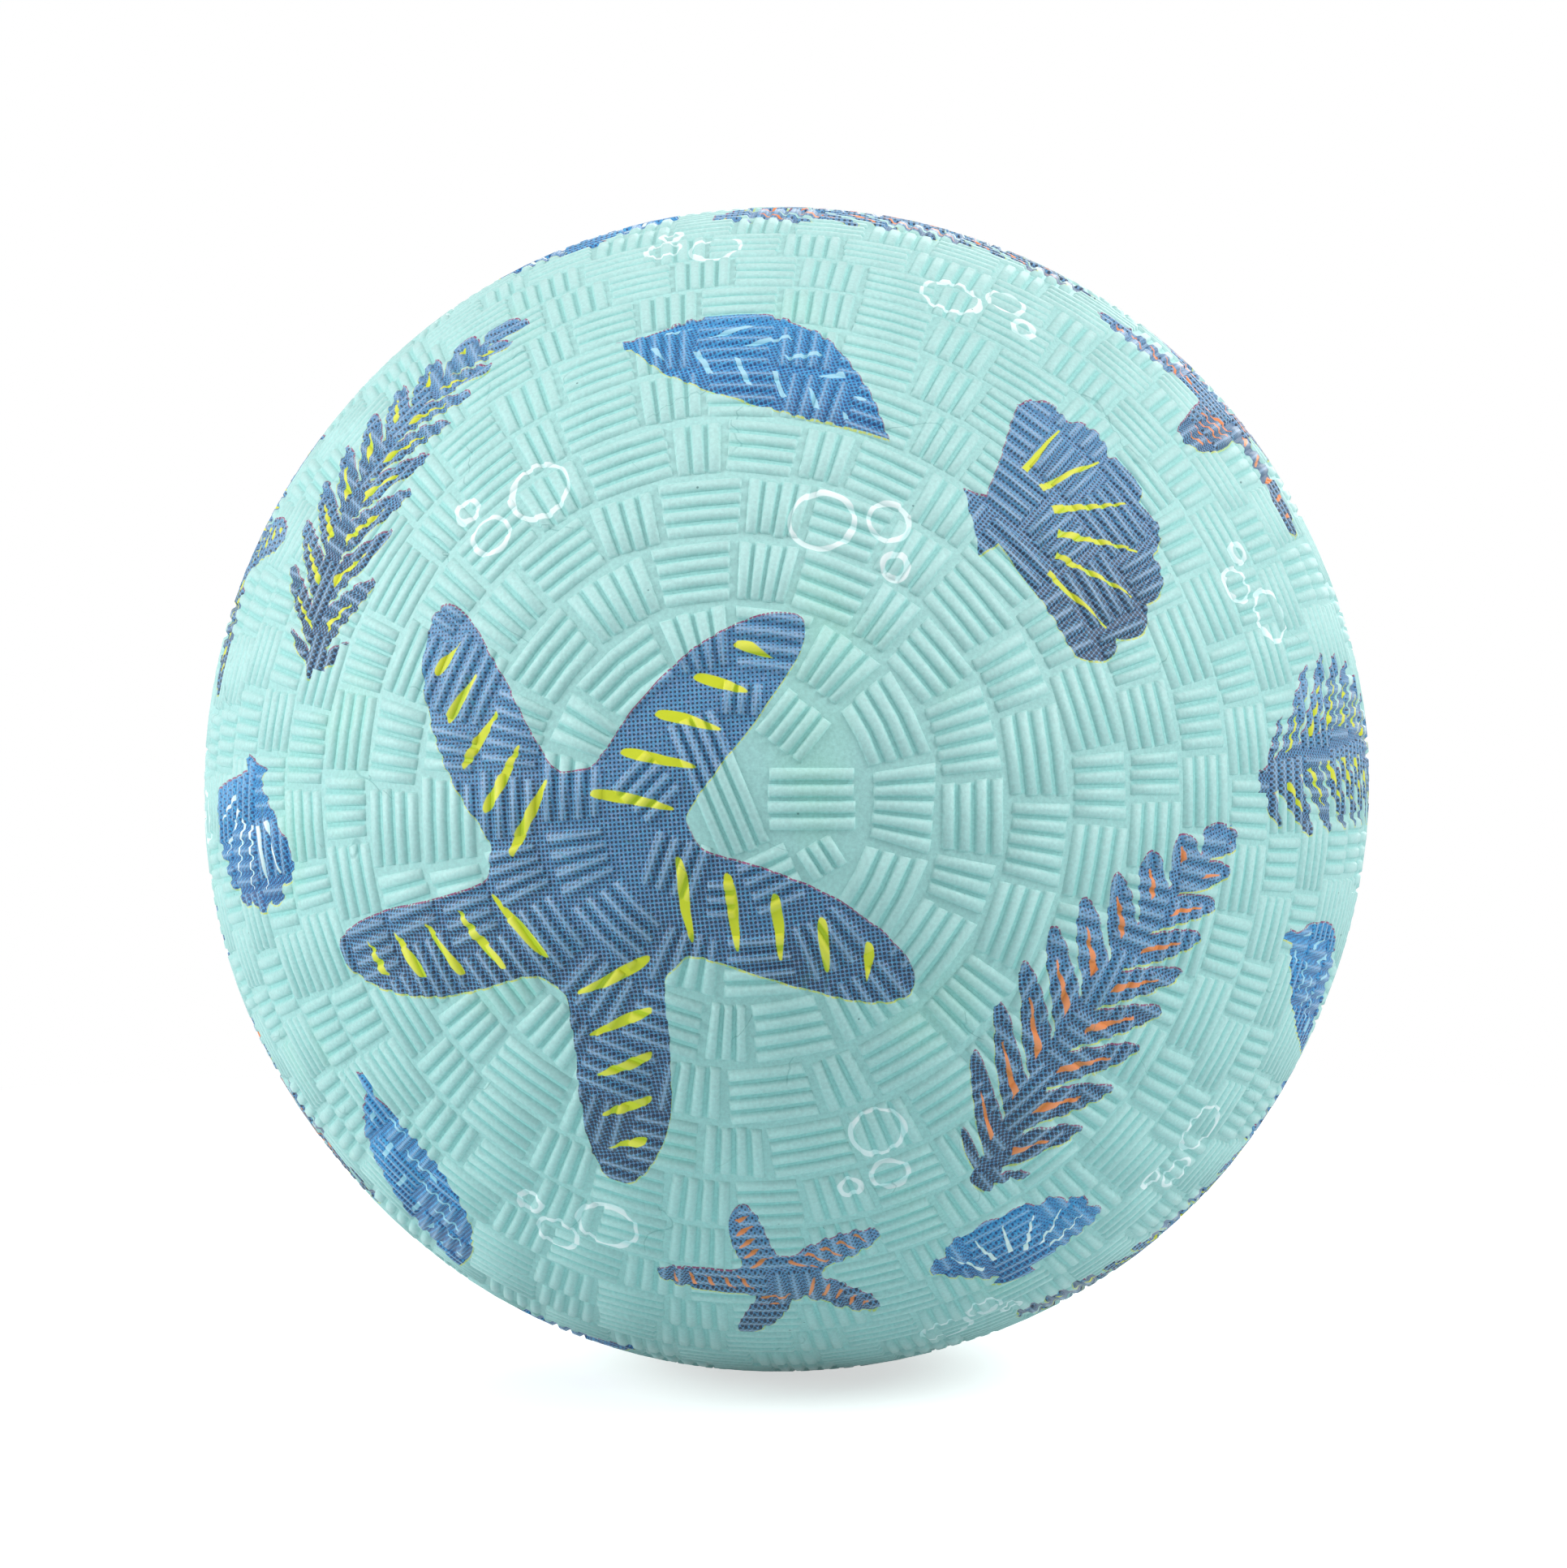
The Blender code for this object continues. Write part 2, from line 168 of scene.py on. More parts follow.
# Motif, degrees from the pole, degrees round it, turn of its upright, scale
FRONT_DESIGN = (
    ("starfish_lime", 14.2, 210, 20, 1.35),
    ("shell_denim", 40, 41, -35, 1.25),
    ("frond_orange", 39, 331, 172, 0.95),
    ("leaf_blue", 41, 88, -25, 1.2),
    ("frond_lime", 52, 139, 20, 0.95),
    ("shell_blue", 55, 184, 70, 0.9),
    ("leaf_blue", 58, 229, 130, 1.15),
    ("starfish_orange", 49, 273, 10, 0.52),
    ("shell_blue", 55, 300, 160, 0.8),
    ("frond_lime", 72, 3, 85, 0.95),
    ("starfish_orange", 76, 41, 0, 0.7),
    ("frond_orange", 77, 76, 5, 0.9),
    ("shell_blue", 78, 109, 0, 0.9),
    ("starfish_lime", 77, 157, 15, 0.7),
    ("frond_orange", 78, 207, 15, 0.9),
    ("leaf_blue", 79, 245, 30, 1.1),
    ("frond_lime", 80, 312, -20, 0.9),
    ("leaf_blue", 71, 340, 60, 1.0),
    ("bubbles", 26.5, 67, 0, 0.9),
    ("bubbles", 34, 129, 160, 0.9),
    ("bubbles", 35, 291, 60, 0.8),
    ("bubbles", 46, 248, 20, 0.9),
    ("bubbles", 57, 22, 200, 0.8),
    ("bubbles", 59, 66, 10, 0.9),
    ("bubbles", 63, 98, 140, 0.8),
    ("bubbles", 74, 182, 60, 0.8),
    ("bubbles", 62, 320, 0, 0.8),
    ("bubbles", 66, 291, 190, 0.8),
)
BACK_DESIGN = (
    ("frond_orange", 31, 17, 95, 0.85),
    ("starfish_lime", 38, 229, 5, 1.1),
    ("shell_denim", 37, 137, 20, 1.2),
    ("leaf_blue", 35, 80, 30, 1.1),
    ("frond_lime", 47, 318, 20, 0.9),
    ("shell_blue", 61, 29, 40, 0.9),
    ("starfish_orange", 64, 63, 0, 0.6),
    ("frond_orange", 66, 105, 10, 0.9),
    ("leaf_blue", 68, 149, 70, 1.0),
    ("frond_lime", 67, 186, 90, 0.85),
    ("shell_blue", 74, 223, 200, 0.85),
    ("leaf_blue", 65, 262, 20, 1.1),
    ("starfish_orange", 72, 288, 20, 0.6),
    ("shell_blue", 73, 333, 10, 0.9),
    ("starfish_lime", 70, 1, 0, 0.5),
    ("bubbles", 31, 299, 60, 0.8),
    ("bubbles", 45, 175, 100, 0.9),
    ("bubbles", 44, 46, 60, 0.8),
    ("bubbles", 53, 348, 60, 0.8),
    ("bubbles", 56, 137, 0, 0.8),
    ("bubbles", 50, 285, 150, 0.8),
)

# Camera and light
IMAGE_WIDTH, IMAGE_HEIGHT = 1931, 1932
BALL_MIDDLE_PIXEL = (968.5, 972.0)
FOCAL_PIXELS = 4248.0
SENSOR_WIDTH = 36.0
CAMERA_DISTANCE = 6.0 * CREST_RADIUS
CAMERA_AZIMUTH = math.radians(4.3)
CAMERA_ELEVATION = math.radians(1.2)
FLOOR_SIZE = 12.0
AMBIENT = 0.25
# Softboxes: name, place and width in metres, watts
SOFTBOXES = (
    ("left_softbox", (-0.76, -0.25, 0.28), 0.5, 5.6),
    ("right_softbox", (0.72, -0.22, 0.52), 0.5, 6.2),
    ("top_softbox", (-0.1, -0.3, 0.78), 0.5, 2.3),
    ("back_softbox", (0.1, 0.85, 0.25), 0.6, 5.0),
)

RUBBER_IOR = 1.52

# Flat map of the cover, in shares of the map
MAP_FILL = 0.96  # of its square that a side of the cube takes
MAP_ROW = 0.48  # height of a row of sides
MAP_WALL_SHRINK = 0.15  # how far the wall of the valve's hole draws in
MAP_TINY, MAP_TINY_ROW = 0.015, 0.98  # half a square and the row of the hidden inner face

# What follows the colon in a kind of node
MODES = {"Math": "operation", "VectorMath": "operation", "Mix": "data_type", "Attribute": "attribute_name"}


def ink(code):
    """Linear colour, with alpha, of an sRGB hex code."""
    parts = [int(code[i:i + 2], 16) / 255 for i in (1, 3, 5)]
    return (*(c / 12.92 if c <= 0.04045 else ((c + 0.055) / 1.055) ** 2.4 for c in parts), 1.0)


def add(tree, kind, *inputs, **settings):
    """Adds a node of a kind such as "Math:ADD". Inputs come in order, as nodes, sockets or plain values, and
    settings by their names."""
    kind, _, mode = kind.partition(":")
    if mode:
        settings = {MODES[kind]: mode, **settings}
    node = tree.nodes.new(kind if kind.startswith("Node") else "ShaderNode" + kind)
    for name in [name for name in settings if hasattr(node, name)]:
        setattr(node, name, settings.pop(name))
    open_inputs = [socket for socket in node.inputs if socket.enabled]
    pairs = [*zip(open_inputs, inputs), *((node.inputs[name], value) for name, value in settings.items())]
    for socket, value in pairs:
        if isinstance(value, bpy.types.Node):
            value = next(output for output in value.outputs if output.enabled)
        if isinstance(value, bpy.types.NodeSocket):
            tree.links.new(value, socket)
        elif value is not None:
            socket.default_value = value
    return node


# Cover mesh


def ball_point(polar, azimuth, radius):
    """Points at an angle from the front pole and round it, counter-clockwise as seen from the front."""
    across = radius * np.sin(polar)
    return np.stack([across * np.cos(azimuth), -radius * np.cos(polar), across * np.sin(azimuth)], axis=-1)


def out_of_true(polar, azimuth):
    """How far the blown-up ball swells out of its sphere: softly, and not at all at the valve's land."""
    x, y, z = np.moveaxis(ball_point(polar, azimuth, 1.0), -1, 0)
    # The three waves have no length or heading in common, so that no swell repeats
    waves = np.sin(6.1 * x + 4.3 * z + 0.7) + np.sin(6.9 * z - 4.7 * x + 2.9 * y) + np.sin(5.3 * y + 3.7 * z)
    return OUT_OF_TRUE * waves / 3 * np.clip((math.pi - polar) * 2 - 0.4, 0, 1)


def fill_flat(flat, outlines):
    """Triangles inside the first flat outline and outside all others, as numbers of the points."""
    fill = delaunay_2d_cdt([Vector(spot) for spot in flat], [], outlines, FILL_INSIDE, FILL_TOLERANCE)
    triangles, came_from, inside_of = fill[2], fill[3], fill[5]
    return [[came_from[corner][0] for corner in triangle]
            for triangle, around in zip(triangles, inside_of) if not any(around)]


class CoverSkin:
    """Points and faces of the cover while its weave is laid, with three marks for each point: its rise, its
    place across its rib and how much of the grooves' painted shade it takes."""

    def __init__(self):
        self.points = []
        self.faces = []
        self.marks = {"rib_rise": [], "rib_across": [], "rib_hollow": []}

    def take(self, points, rise=0.0, across=1.0, hollow=0.0):
        """Adds points with their marks and gives their numbers."""
        first, shape = len(self.points), points.shape[:-1]
        self.points.extend(points.reshape(-1, 3).tolist())
        for marks, values in zip(self.marks.values(), (rise, across, hollow)):
            marks.extend(np.broadcast_to(values, shape).ravel().tolist())
        return np.arange(first, len(self.points)).reshape(shape)

    def lay(self, polar, azimuth, rise=0.0, across=1.0, hollow=0.0):
        """Adds points on the ball, raised by a share of the rib height."""
        polar, azimuth, rise = np.broadcast_arrays(polar, azimuth, rise)
        radius = GROUND_RADIUS + rise * RIB_HEIGHT + out_of_true(polar, azimuth)
        return self.take(ball_point(polar, azimuth, radius), rise, across, hollow)

    def turn(self, across, height):
        """Adds one round of points at a distance from the ball's axis and a height along +Y."""
        angles = [math.tau * step / TURN_STEPS for step in range(TURN_STEPS)]
        points = [(across * math.cos(angle), height, across * math.sin(angle)) for angle in angles]
        return list(zip(angles, self.take(np.array(points)).tolist()))

    def fill_grid(self, grid):
        """Closes a grid of points with four-sided faces."""
        for near, far in zip(grid[:-1], grid[1:]):
            for a, b, c, d in zip(near[:-1], near[1:], far[1:], far[:-1]):
                self.faces.append((int(a), int(b), int(c), int(d)))

    def fill_rounds(self, rounds):
        """Closes the strips between rounds of (azimuth, point) that all have the same azimuths."""
        self.fill_grid([[number for _, number in row + row[:1]] for row in rounds])

    def fill_between(self, one, other):
        """Fills the ground between two rows of points that run the same way, laid flat round the pole."""
        outline = [*one, *other[::-1]]
        spots = np.array([self.points[number] for number in outline])
        azimuth = np.unwrap(np.arctan2(spots[:, 2], spots[:, 0]))
        polar = np.arccos(-spots[:, 1] / np.linalg.norm(spots, axis=1))
        flat = np.stack([azimuth * np.sin(polar.mean()), polar], axis=1) * GROUND_RADIUS / MM
        for triangle in fill_flat(flat, [list(range(len(outline)))]):
            self.faces.append(tuple(outline[corner] for corner in triangle))

    def fill_round(self, first, second):
        """Fills the ground between two whole rounds of (azimuth, point), from where they come closest."""
        first, second = in_order(first), in_order(second)
        apart = np.abs(np.array(first)[:, :1] - np.array(second)[:, 0])
        a, b = np.unravel_index(apart.argmin(), apart.shape)
        self.fill_between([number for _, number in first[a:] + first[:a + 1]],
                          [number for _, number in second[b:] + second[:b + 1]])


def in_order(row):
    """A round of (azimuth, point) in rising order."""
    return sorted((azimuth % math.tau, number) for azimuth, number in row)


def ribbed_grid(dice, ribs, length):
    """A patch as shares of its length and width, with the marks of each point: foot, crest, crest and foot of
    every rib, whose ends slope down to the ground and stray a little."""
    span = ribs - 1 + 2 * RIB_FOOT
    offsets = (-RIB_FOOT, -RIB_CREST, RIB_CREST, RIB_FOOT)
    sideways = np.array([(rib + RIB_FOOT + offset) / span for rib in range(ribs) for offset in offsets])
    run = RIB_END_RUN / length
    lengthwise = np.array([0.0, run, 0.5, 1 - run, 1.0])[:, None]
    stray = (0, RIB_END_STRAY / length)
    start, stop, height = (np.repeat([dice.uniform(*limits) for _ in range(ribs)], len(offsets))
                           for limits in (stray, stray, (RIB_LEAST_HEIGHT, 1.0)))
    lengthwise = lengthwise * (1 - start - stop) + start
    rise = np.array([0.0, 1.0, 1.0, 1.0, 0.0])[:, None] * np.tile([0.0, 1.0, 1.0, 0.0], ribs) * height
    across = np.broadcast_to(np.tile([-1.0, -0.5, 0.5, 1.0], ribs), rise.shape)
    # painted shade: the ground between ribs gets all of it, a patch's border less, the ribs none
    hollow = np.where(rise == 0, 1.0, 0.0)
    hollow[[0, -1], :] = hollow[:, [0, -1]] = BORDER_GROOVE_SHADE
    return lengthwise, np.broadcast_to(sideways, rise.shape), rise, across, hollow


def row_wave(azimuth, ring, middle):
    """How far a ring's row strays from its circle: least at the poles and at the parting line."""
    swell = ROW_WAVE / GROUND_RADIUS * abs(math.sin(2 * middle))
    return swell * np.sin(3 * azimuth + 0.25 * ring) * np.sin(azimuth - 0.15 * ring)


def woven_ring(skin, dice, ring, near, far):
    """One ring of patches, lying and standing by turns. Gives its near and far rows of points."""
    middle = (near + far) / 2
    girth = math.tau * GROUND_RADIUS * math.sin(middle)
    pairs = max(LEAST_PAIRS, round(girth / (LYING_WIDTH + STANDING_PITCH * np.mean(STANDING_RIBS))))
    widths = []
    for _ in range(pairs):
        ribs = dice.choice(STANDING_RIBS)
        widths.append((LYING_WIDTH * dice.uniform(*LYING_SPREAD), LYING_RIBS, True))
        widths.append((STANDING_PITCH * ribs * dice.uniform(*STANDING_SPREAD), ribs, False))
    turn_share = math.tau / sum(width for width, _, _ in widths)
    loose = max(0, 1 - min(middle, math.pi - middle) / LOOSE_ANGLE)
    gap = PATCH_GAP * (1 + loose) / GROUND_RADIUS
    azimuth = dice.uniform(0, math.tau)
    low, high = near + gap / 2, far - gap / 2
    near_row, far_row, sides = [], [], []
    for width, ribs, lying in widths:
        turn = width * turn_share
        left, right = azimuth + gap / math.sin(middle) / 2, azimuth + turn - gap / math.sin(middle) / 2
        azimuth += turn
        length = (right - left) * GROUND_RADIUS * math.sin(middle) if lying else (high - low) * GROUND_RADIUS
        lengthwise, sideways, *marks = ribbed_grid(dice, ribs, length)
        round_share, polar_share = (lengthwise, sideways) if lying else (sideways, lengthwise)
        round_angle = left + (right - left) * round_share
        bow = (1 / np.cos(round_angle - (left + right) / 2) - 1) * math.cos(middle) ** 2
        corner_bow = bow.max() * min(middle, math.pi - middle) * GROUND_RADIUS
        straight = 1 + bow * min(1, PATCH_BOW / corner_bow)
        polar = low + (high - low) * polar_share
        polar = polar * straight if middle < math.pi / 2 else math.pi - (math.pi - polar) * straight
        polar = polar + row_wave(round_angle, ring, middle)
        tilt = dice.uniform(-PATCH_TILT, PATCH_TILT) * (1 + 2 * loose)
        sway = tilt * (round_angle - (left + right) / 2) * math.sin(middle)
        round_angle = round_angle - tilt * (polar - middle) / math.sin(middle)
        grid = skin.lay(polar + sway, round_angle, *marks)
        skin.fill_grid(grid)
        if not lying:
            grid, round_angle = grid.T, round_angle.T
        near_row += zip(round_angle[:, 0].tolist(), grid[:, 0].tolist())
        far_row += zip(round_angle[:, -1].tolist(), grid[:, -1].tolist())
        sides.append((grid[0].tolist(), grid[-1].tolist()))
    for (_, one), (other, _) in zip(sides, sides[1:] + sides[:1]):
        skin.fill_between(one, other)
    return near_row, far_row


def pole_cap(skin, dice, near_row):
    """The patches over the front pole, listed as the mould has them, and the bare ground among them."""
    outlines = [[number for _, number in in_order(near_row)]]
    for right, up, turn, ribs, pitch, length in POLE_PATCHES:
        width = pitch * (ribs - 1 + 2 * RIB_FOOT)
        lengthwise, sideways, *marks = ribbed_grid(dice, ribs, length * MM)
        along, beside = (lengthwise - 0.5) * length, (sideways - 0.5) * width
        turn = math.radians(turn)
        flat_x = right + along * math.cos(turn) - beside * math.sin(turn)
        flat_y = up + along * math.sin(turn) + beside * math.cos(turn)
        polar = np.hypot(flat_x, flat_y) * MM / GROUND_RADIUS
        grid = skin.lay(polar, np.arctan2(flat_y, flat_x), *marks)
        skin.fill_grid(grid)
        outlines.append([*grid[:, 0], *grid[-1, 1:], *grid[-2::-1, -1], *grid[0, -2:0:-1]])
    numbers = [int(number) for outline in outlines for number in outline]
    starts = np.cumsum([0] + [len(outline) for outline in outlines]).tolist()
    loops = [list(range(start, stop)) for start, stop in zip(starts, starts[1:])]
    flat = [(skin.points[number][0], skin.points[number][2]) for number in numbers]
    for triangle in fill_flat(flat, loops):
        skin.faces.append(tuple(numbers[corner] for corner in triangle))


def parting_line(skin, last_row):
    """The fine raised line where the two halves of the mould met. Gives its far round."""
    angles = np.arange(PARTING_STEPS) * math.tau / PARTING_STEPS
    rounds = []
    for side, rise in ((-1, 0.0), (0, PARTING_HEIGHT / RIB_HEIGHT), (1, 0.0)):
        numbers = skin.lay(math.pi / 2 + side * PARTING_WIDTH / 2 / GROUND_RADIUS, angles, rise)
        rounds.append(list(zip(angles.tolist(), numbers.tolist())))
    skin.fill_round(last_row, rounds[0])
    skin.fill_rounds(rounds)
    return rounds[-1]


def land_and_lining(skin, last_row):
    """The smooth land round the valve, the rounded edge and wall of its hole, and the inner face."""
    profile = []
    edge_middle = HOLE_RADIUS + HOLE_EDGE
    top = math.sqrt(GROUND_RADIUS ** 2 - edge_middle ** 2)
    for step in range(LAND_ROWS + 1):
        across = LAND_RADIUS + (edge_middle - LAND_RADIUS) * step / LAND_ROWS
        profile.append((across, math.sqrt(GROUND_RADIUS ** 2 - across ** 2)))
    for step in range(1, ROUND_STEPS + 1):
        bend = math.pi / 2 * step / ROUND_STEPS
        profile.append((edge_middle - HOLE_EDGE * math.sin(bend), top - HOLE_EDGE * (1 - math.cos(bend))))
    for step in range(INNER_ROWS):
        polar = math.asin(HOLE_RADIUS / INNER_RADIUS) + INNER_SWEEP * step / INNER_ROWS
        profile.append((INNER_RADIUS * math.sin(polar), INNER_RADIUS * math.cos(polar)))
    rounds = [skin.turn(across, height) for across, height in profile]
    skin.fill_round(last_row, rounds[0])
    skin.fill_rounds(rounds)
    pole = int(skin.take(np.array((0.0, -INNER_RADIUS, 0.0))))
    for (_, one), (_, other) in zip(rounds[-1], rounds[-1][1:] + rounds[-1][:1]):
        skin.faces.append((one, other, pole))


def cover_mesh():
    """The whole cover as one closed mesh, with the marks of its points kept for its materials."""
    dice = random.Random(WEAVE_SEED)
    skin = CoverSkin()
    start = POLE_CAP_RADIUS / GROUND_RADIUS
    parting = PARTING_WIDTH / 2 / GROUND_RADIUS
    end = math.pi - math.asin(LAND_RADIUS / GROUND_RADIUS)
    row, ring = None, 0
    for first, last in ((start, math.pi / 2 - parting), (math.pi / 2 + parting, end)):
        rings = round((last - first) * GROUND_RADIUS / RING_PITCH)
        edges = np.linspace(first, last, rings + 1).tolist()
        for near, far in zip(edges[:-1], edges[1:]):
            near_row, far_row = woven_ring(skin, dice, ring, near, far)
            if row is None:
                pole_cap(skin, dice, near_row)
            elif near == first:
                skin.fill_round(parting_line(skin, row), near_row)
            else:
                skin.fill_round(row, near_row)
            row = far_row
            ring += 1
    land_and_lining(skin, row)
    mesh = bpy.data.meshes.new("woven_cover")
    mesh.from_pydata(skin.points, [], skin.faces)
    for mark, values in skin.marks.items():
        mesh.attributes.new(mark, "FLOAT", "POINT").data.foreach_set("value", values)
    body = bmesh.new()
    body.from_mesh(mesh)
    bmesh.ops.recalc_face_normals(body, faces=body.faces)
    rises = skin.marks["rib_rise"]
    raised = [any(rises[corner.index] for corner in face.verts) for face in body.faces]
    for edge in body.edges:
        edge.smooth = len({raised[face.index] for face in edge.link_faces}) == 1
    body.to_mesh(mesh)
    body.free()
    for face in mesh.polygons:
        face.use_smooth = True
    return mesh


# Placing the design on the cover


def mesh_arrays(mesh):
    """Middles of a mesh's faces, its points, and the point and the face of each corner."""
    count = len(mesh.polygons)
    middles, points = np.empty(count * 3, np.float32), np.empty(len(mesh.vertices) * 3, np.float32)
    corner_points, corner_counts = np.empty(len(mesh.loops), np.int32), np.empty(count, np.int32)
    mesh.polygons.foreach_get("center", middles)
    mesh.vertices.foreach_get("co", points)
    mesh.loops.foreach_get("vertex_index", corner_points)
    mesh.polygons.foreach_get("loop_total", corner_counts)
    middles, points = (values.reshape(-1, 3).astype(float) for values in (middles, points))
    return middles, points, corner_points, np.repeat(np.arange(count), corner_counts)


def motif_axes(polar, azimuth, turn, side):
    """Middle, right and up directions of a motif; side is 1 on the front and -1 on the back."""
    polar, azimuth, turn = np.radians([polar, azimuth, turn])
    if side < 0:
        polar, azimuth = math.pi - polar, math.pi - azimuth
    middle = ball_point(polar, azimuth, 1.0)
    outward = ball_point(polar + math.pi / 2, azimuth, 1.0) * side
    right = np.cross(outward, middle)
    return (middle, math.cos(turn) * right + math.sin(turn) * outward,
            math.cos(turn) * outward - math.sin(turn) * right)


def motif_place(headings, axes):
    """How far directions lie right and up of a motif's middle, in millimetres measured over the ball."""
    middle, right, up = axes
    angle = np.arccos(np.clip(headings @ middle, -1, 1))
    stretch = angle / np.maximum(np.sin(angle), 1e-9) * GROUND_RADIUS / MM
    return headings @ right * stretch, headings @ up * stretch


def place_design(mesh, materials):
    """Gives each face the motif that reaches it best, and each corner its place on that motif."""
    centres, spots, corner_spots, corner_faces = mesh_arrays(mesh)
    count, corners = len(centres), len(corner_spots)
    depth = np.linalg.norm(centres, axis=1)
    centres /= depth[:, None]
    spots /= np.linalg.norm(spots, axis=1)[:, None]

    nearest = np.ones(count)
    chosen = np.full(count, -1)
    outer = depth > (GROUND_RADIUS + INNER_RADIUS) / 2
    design = [(motif, scale, REACH[motif.split("_")[0]], motif_axes(polar, azimuth, turn, side))
              for rows, side in ((FRONT_DESIGN, 1), (BACK_DESIGN, -1))
              for motif, polar, azimuth, turn, scale in rows]
    for number, (_, scale, reach, axes) in enumerate(design):
        right, up = motif_place(centres, axes)
        share = np.hypot(right / reach[0], up / reach[1]) / scale
        closer = (share < nearest) & (centres @ axes[0] > 0) & outer
        nearest[closer] = share[closer]
        chosen[closer] = number

    names = list(materials)
    slots = np.zeros(count, np.int32)
    places = np.zeros((corners, 3), np.float32)
    downs = np.zeros((corners, 3), np.float32)
    lows = np.zeros(corners, np.float32)
    for number, (motif, scale, reach, axes) in enumerate(design):
        slots[chosen == number] = names.index(motif)
        mine = np.nonzero(chosen[corner_faces] == number)[0]
        right, up = motif_place(spots[corner_spots[mine]], axes)
        places[mine] = np.stack([right, up, np.full(len(mine), scale)], axis=1)
        down = -np.array([axes[1][2], axes[2][2]])
        down /= np.linalg.norm(down)
        downs[mine] = (*down, 0.0)
        lows[mine] = (right * down[0] + up * down[1]) / (np.hypot(*(down * reach)) * scale)
    mesh.polygons.foreach_set("material_index", slots)
    mesh.attributes.new("motif_place", "FLOAT_VECTOR", "CORNER").data.foreach_set("vector", places.ravel())
    mesh.attributes.new("motif_down", "FLOAT_VECTOR", "CORNER").data.foreach_set("vector", downs.ravel())
    mesh.attributes.new("motif_low", "FLOAT", "CORNER").data.foreach_set("value", lows)


# Shapes of the motifs


def shape_group(name):
    """A node group that turns a place in millimetres, with the scale as its third number, into a shape."""
    tree = bpy.data.node_groups.new(name, "ShaderNodeTree")
    tree.interface.new_socket("Place", in_out="INPUT", socket_type="NodeSocketVector")
    for result in ("Body", "Accent"):
        tree.interface.new_socket(result, in_out="OUTPUT", socket_type="NodeSocketFloat")
    parts = add(tree, "SeparateXYZ", add(tree, "NodeGroupInput")).outputs
    x, y = (add(tree, "Math:DIVIDE", part, parts[2]) for part in parts[:2])
    return tree, x, y, parts[2]


def close_shape(tree, scale, body, accent):
    """Sends out how far a place lies outside the body and outside the accent, in millimetres."""
    body = add(tree, "Math:MULTIPLY", body, scale)
    accent = add(tree, "Math:MULTIPLY", accent, scale)
    add(tree, "NodeGroupOutput", body, accent)
    return tree


def overlap(tree, outside, *others):
    """How far a place lies outside the overlap of shapes, from how far it lies outside each of them."""
    for other in others:
        outside = add(tree, "Math:MAXIMUM", outside, other)
    return outside


def dome(tree, share, power):
    """1 in the middle, 0 from a share of 1 outwards, and the blunter the lower the power."""
    rest = add(tree, "Math:SUBTRACT", 1.0, add(tree, "Math:MULTIPLY", share, share))
    return add(tree, "Math:POWER", add(tree, "Math:MAXIMUM", rest, 0.0), power)


def off_midline(tree, x, y, bow):
    """How far a place lies to either side of a bowed midline."""
    midline = add(tree, "Math:MULTIPLY_ADD", add(tree, "Math:MULTIPLY", x, x), *bow)
    return add(tree, "Math:ABSOLUTE", add(tree, "Math:SUBTRACT", y, midline))


def starfish_shape():
    """Five round-ended arms with a slight swirl, and a row of brush dashes across each arm."""
    tree, x, y, scale = shape_group("starfish")
    far = add(tree, "VectorMath:LENGTH", add(tree, "CombineXYZ", x, y, 0.0)).outputs["Value"]
    angle = add(tree, "Math:MULTIPLY_ADD", far, 0.011, add(tree, "Math:ARCTAN2", y, x))
    wave = add(tree, "Math:COSINE", add(tree, "Math:MULTIPLY", angle, float(STAR_ARMS)))
    swell = add(tree, "Math:POWER", add(tree, "Math:MULTIPLY_ADD", wave, 0.5, 0.5), 2.1)
    edge = add(tree, "Math:MULTIPLY_ADD", swell, 0.66 * STAR_ARM, 0.34 * STAR_ARM)
    body = add(tree, "Math:SUBTRACT", far, edge)
    off_axis = add(tree, "Math:WRAP", angle, math.pi / STAR_ARMS, -math.pi / STAR_ARMS)
    along = add(tree, "Math:MULTIPLY", far, add(tree, "Math:COSINE", off_axis))
    beside = add(tree, "Math:MULTIPLY", far, add(tree, "Math:SINE", off_axis))
    slanted = add(tree, "Math:MULTIPLY_ADD", beside, 0.3, along)
    off_dash = add(tree, "Math:PINGPONG", slanted, STAR_DASH_STEP / 2)
    out = add(tree, "Math:DIVIDE", beside, add(tree, "Math:MULTIPLY_ADD", along, -0.1, 3.6))
    thick = add(tree, "Math:MULTIPLY_ADD", out, 0.13, 0.4)
    thick = add(tree, "Math:MULTIPLY", thick, dome(tree, out, 0.35))
    dash = add(tree, "Math:SUBTRACT", off_dash, thick)
    past_edge = add(tree, "Math:SUBTRACT", add(tree, "Math:ABSOLUTE", out), 1.0)
    near_middle = add(tree, "Math:SUBTRACT", STAR_DASHES[0], along)
    near_tip = add(tree, "Math:SUBTRACT", along, STAR_DASHES[1])
    return close_shape(tree, scale, body, overlap(tree, dash, past_edge, near_middle, near_tip))


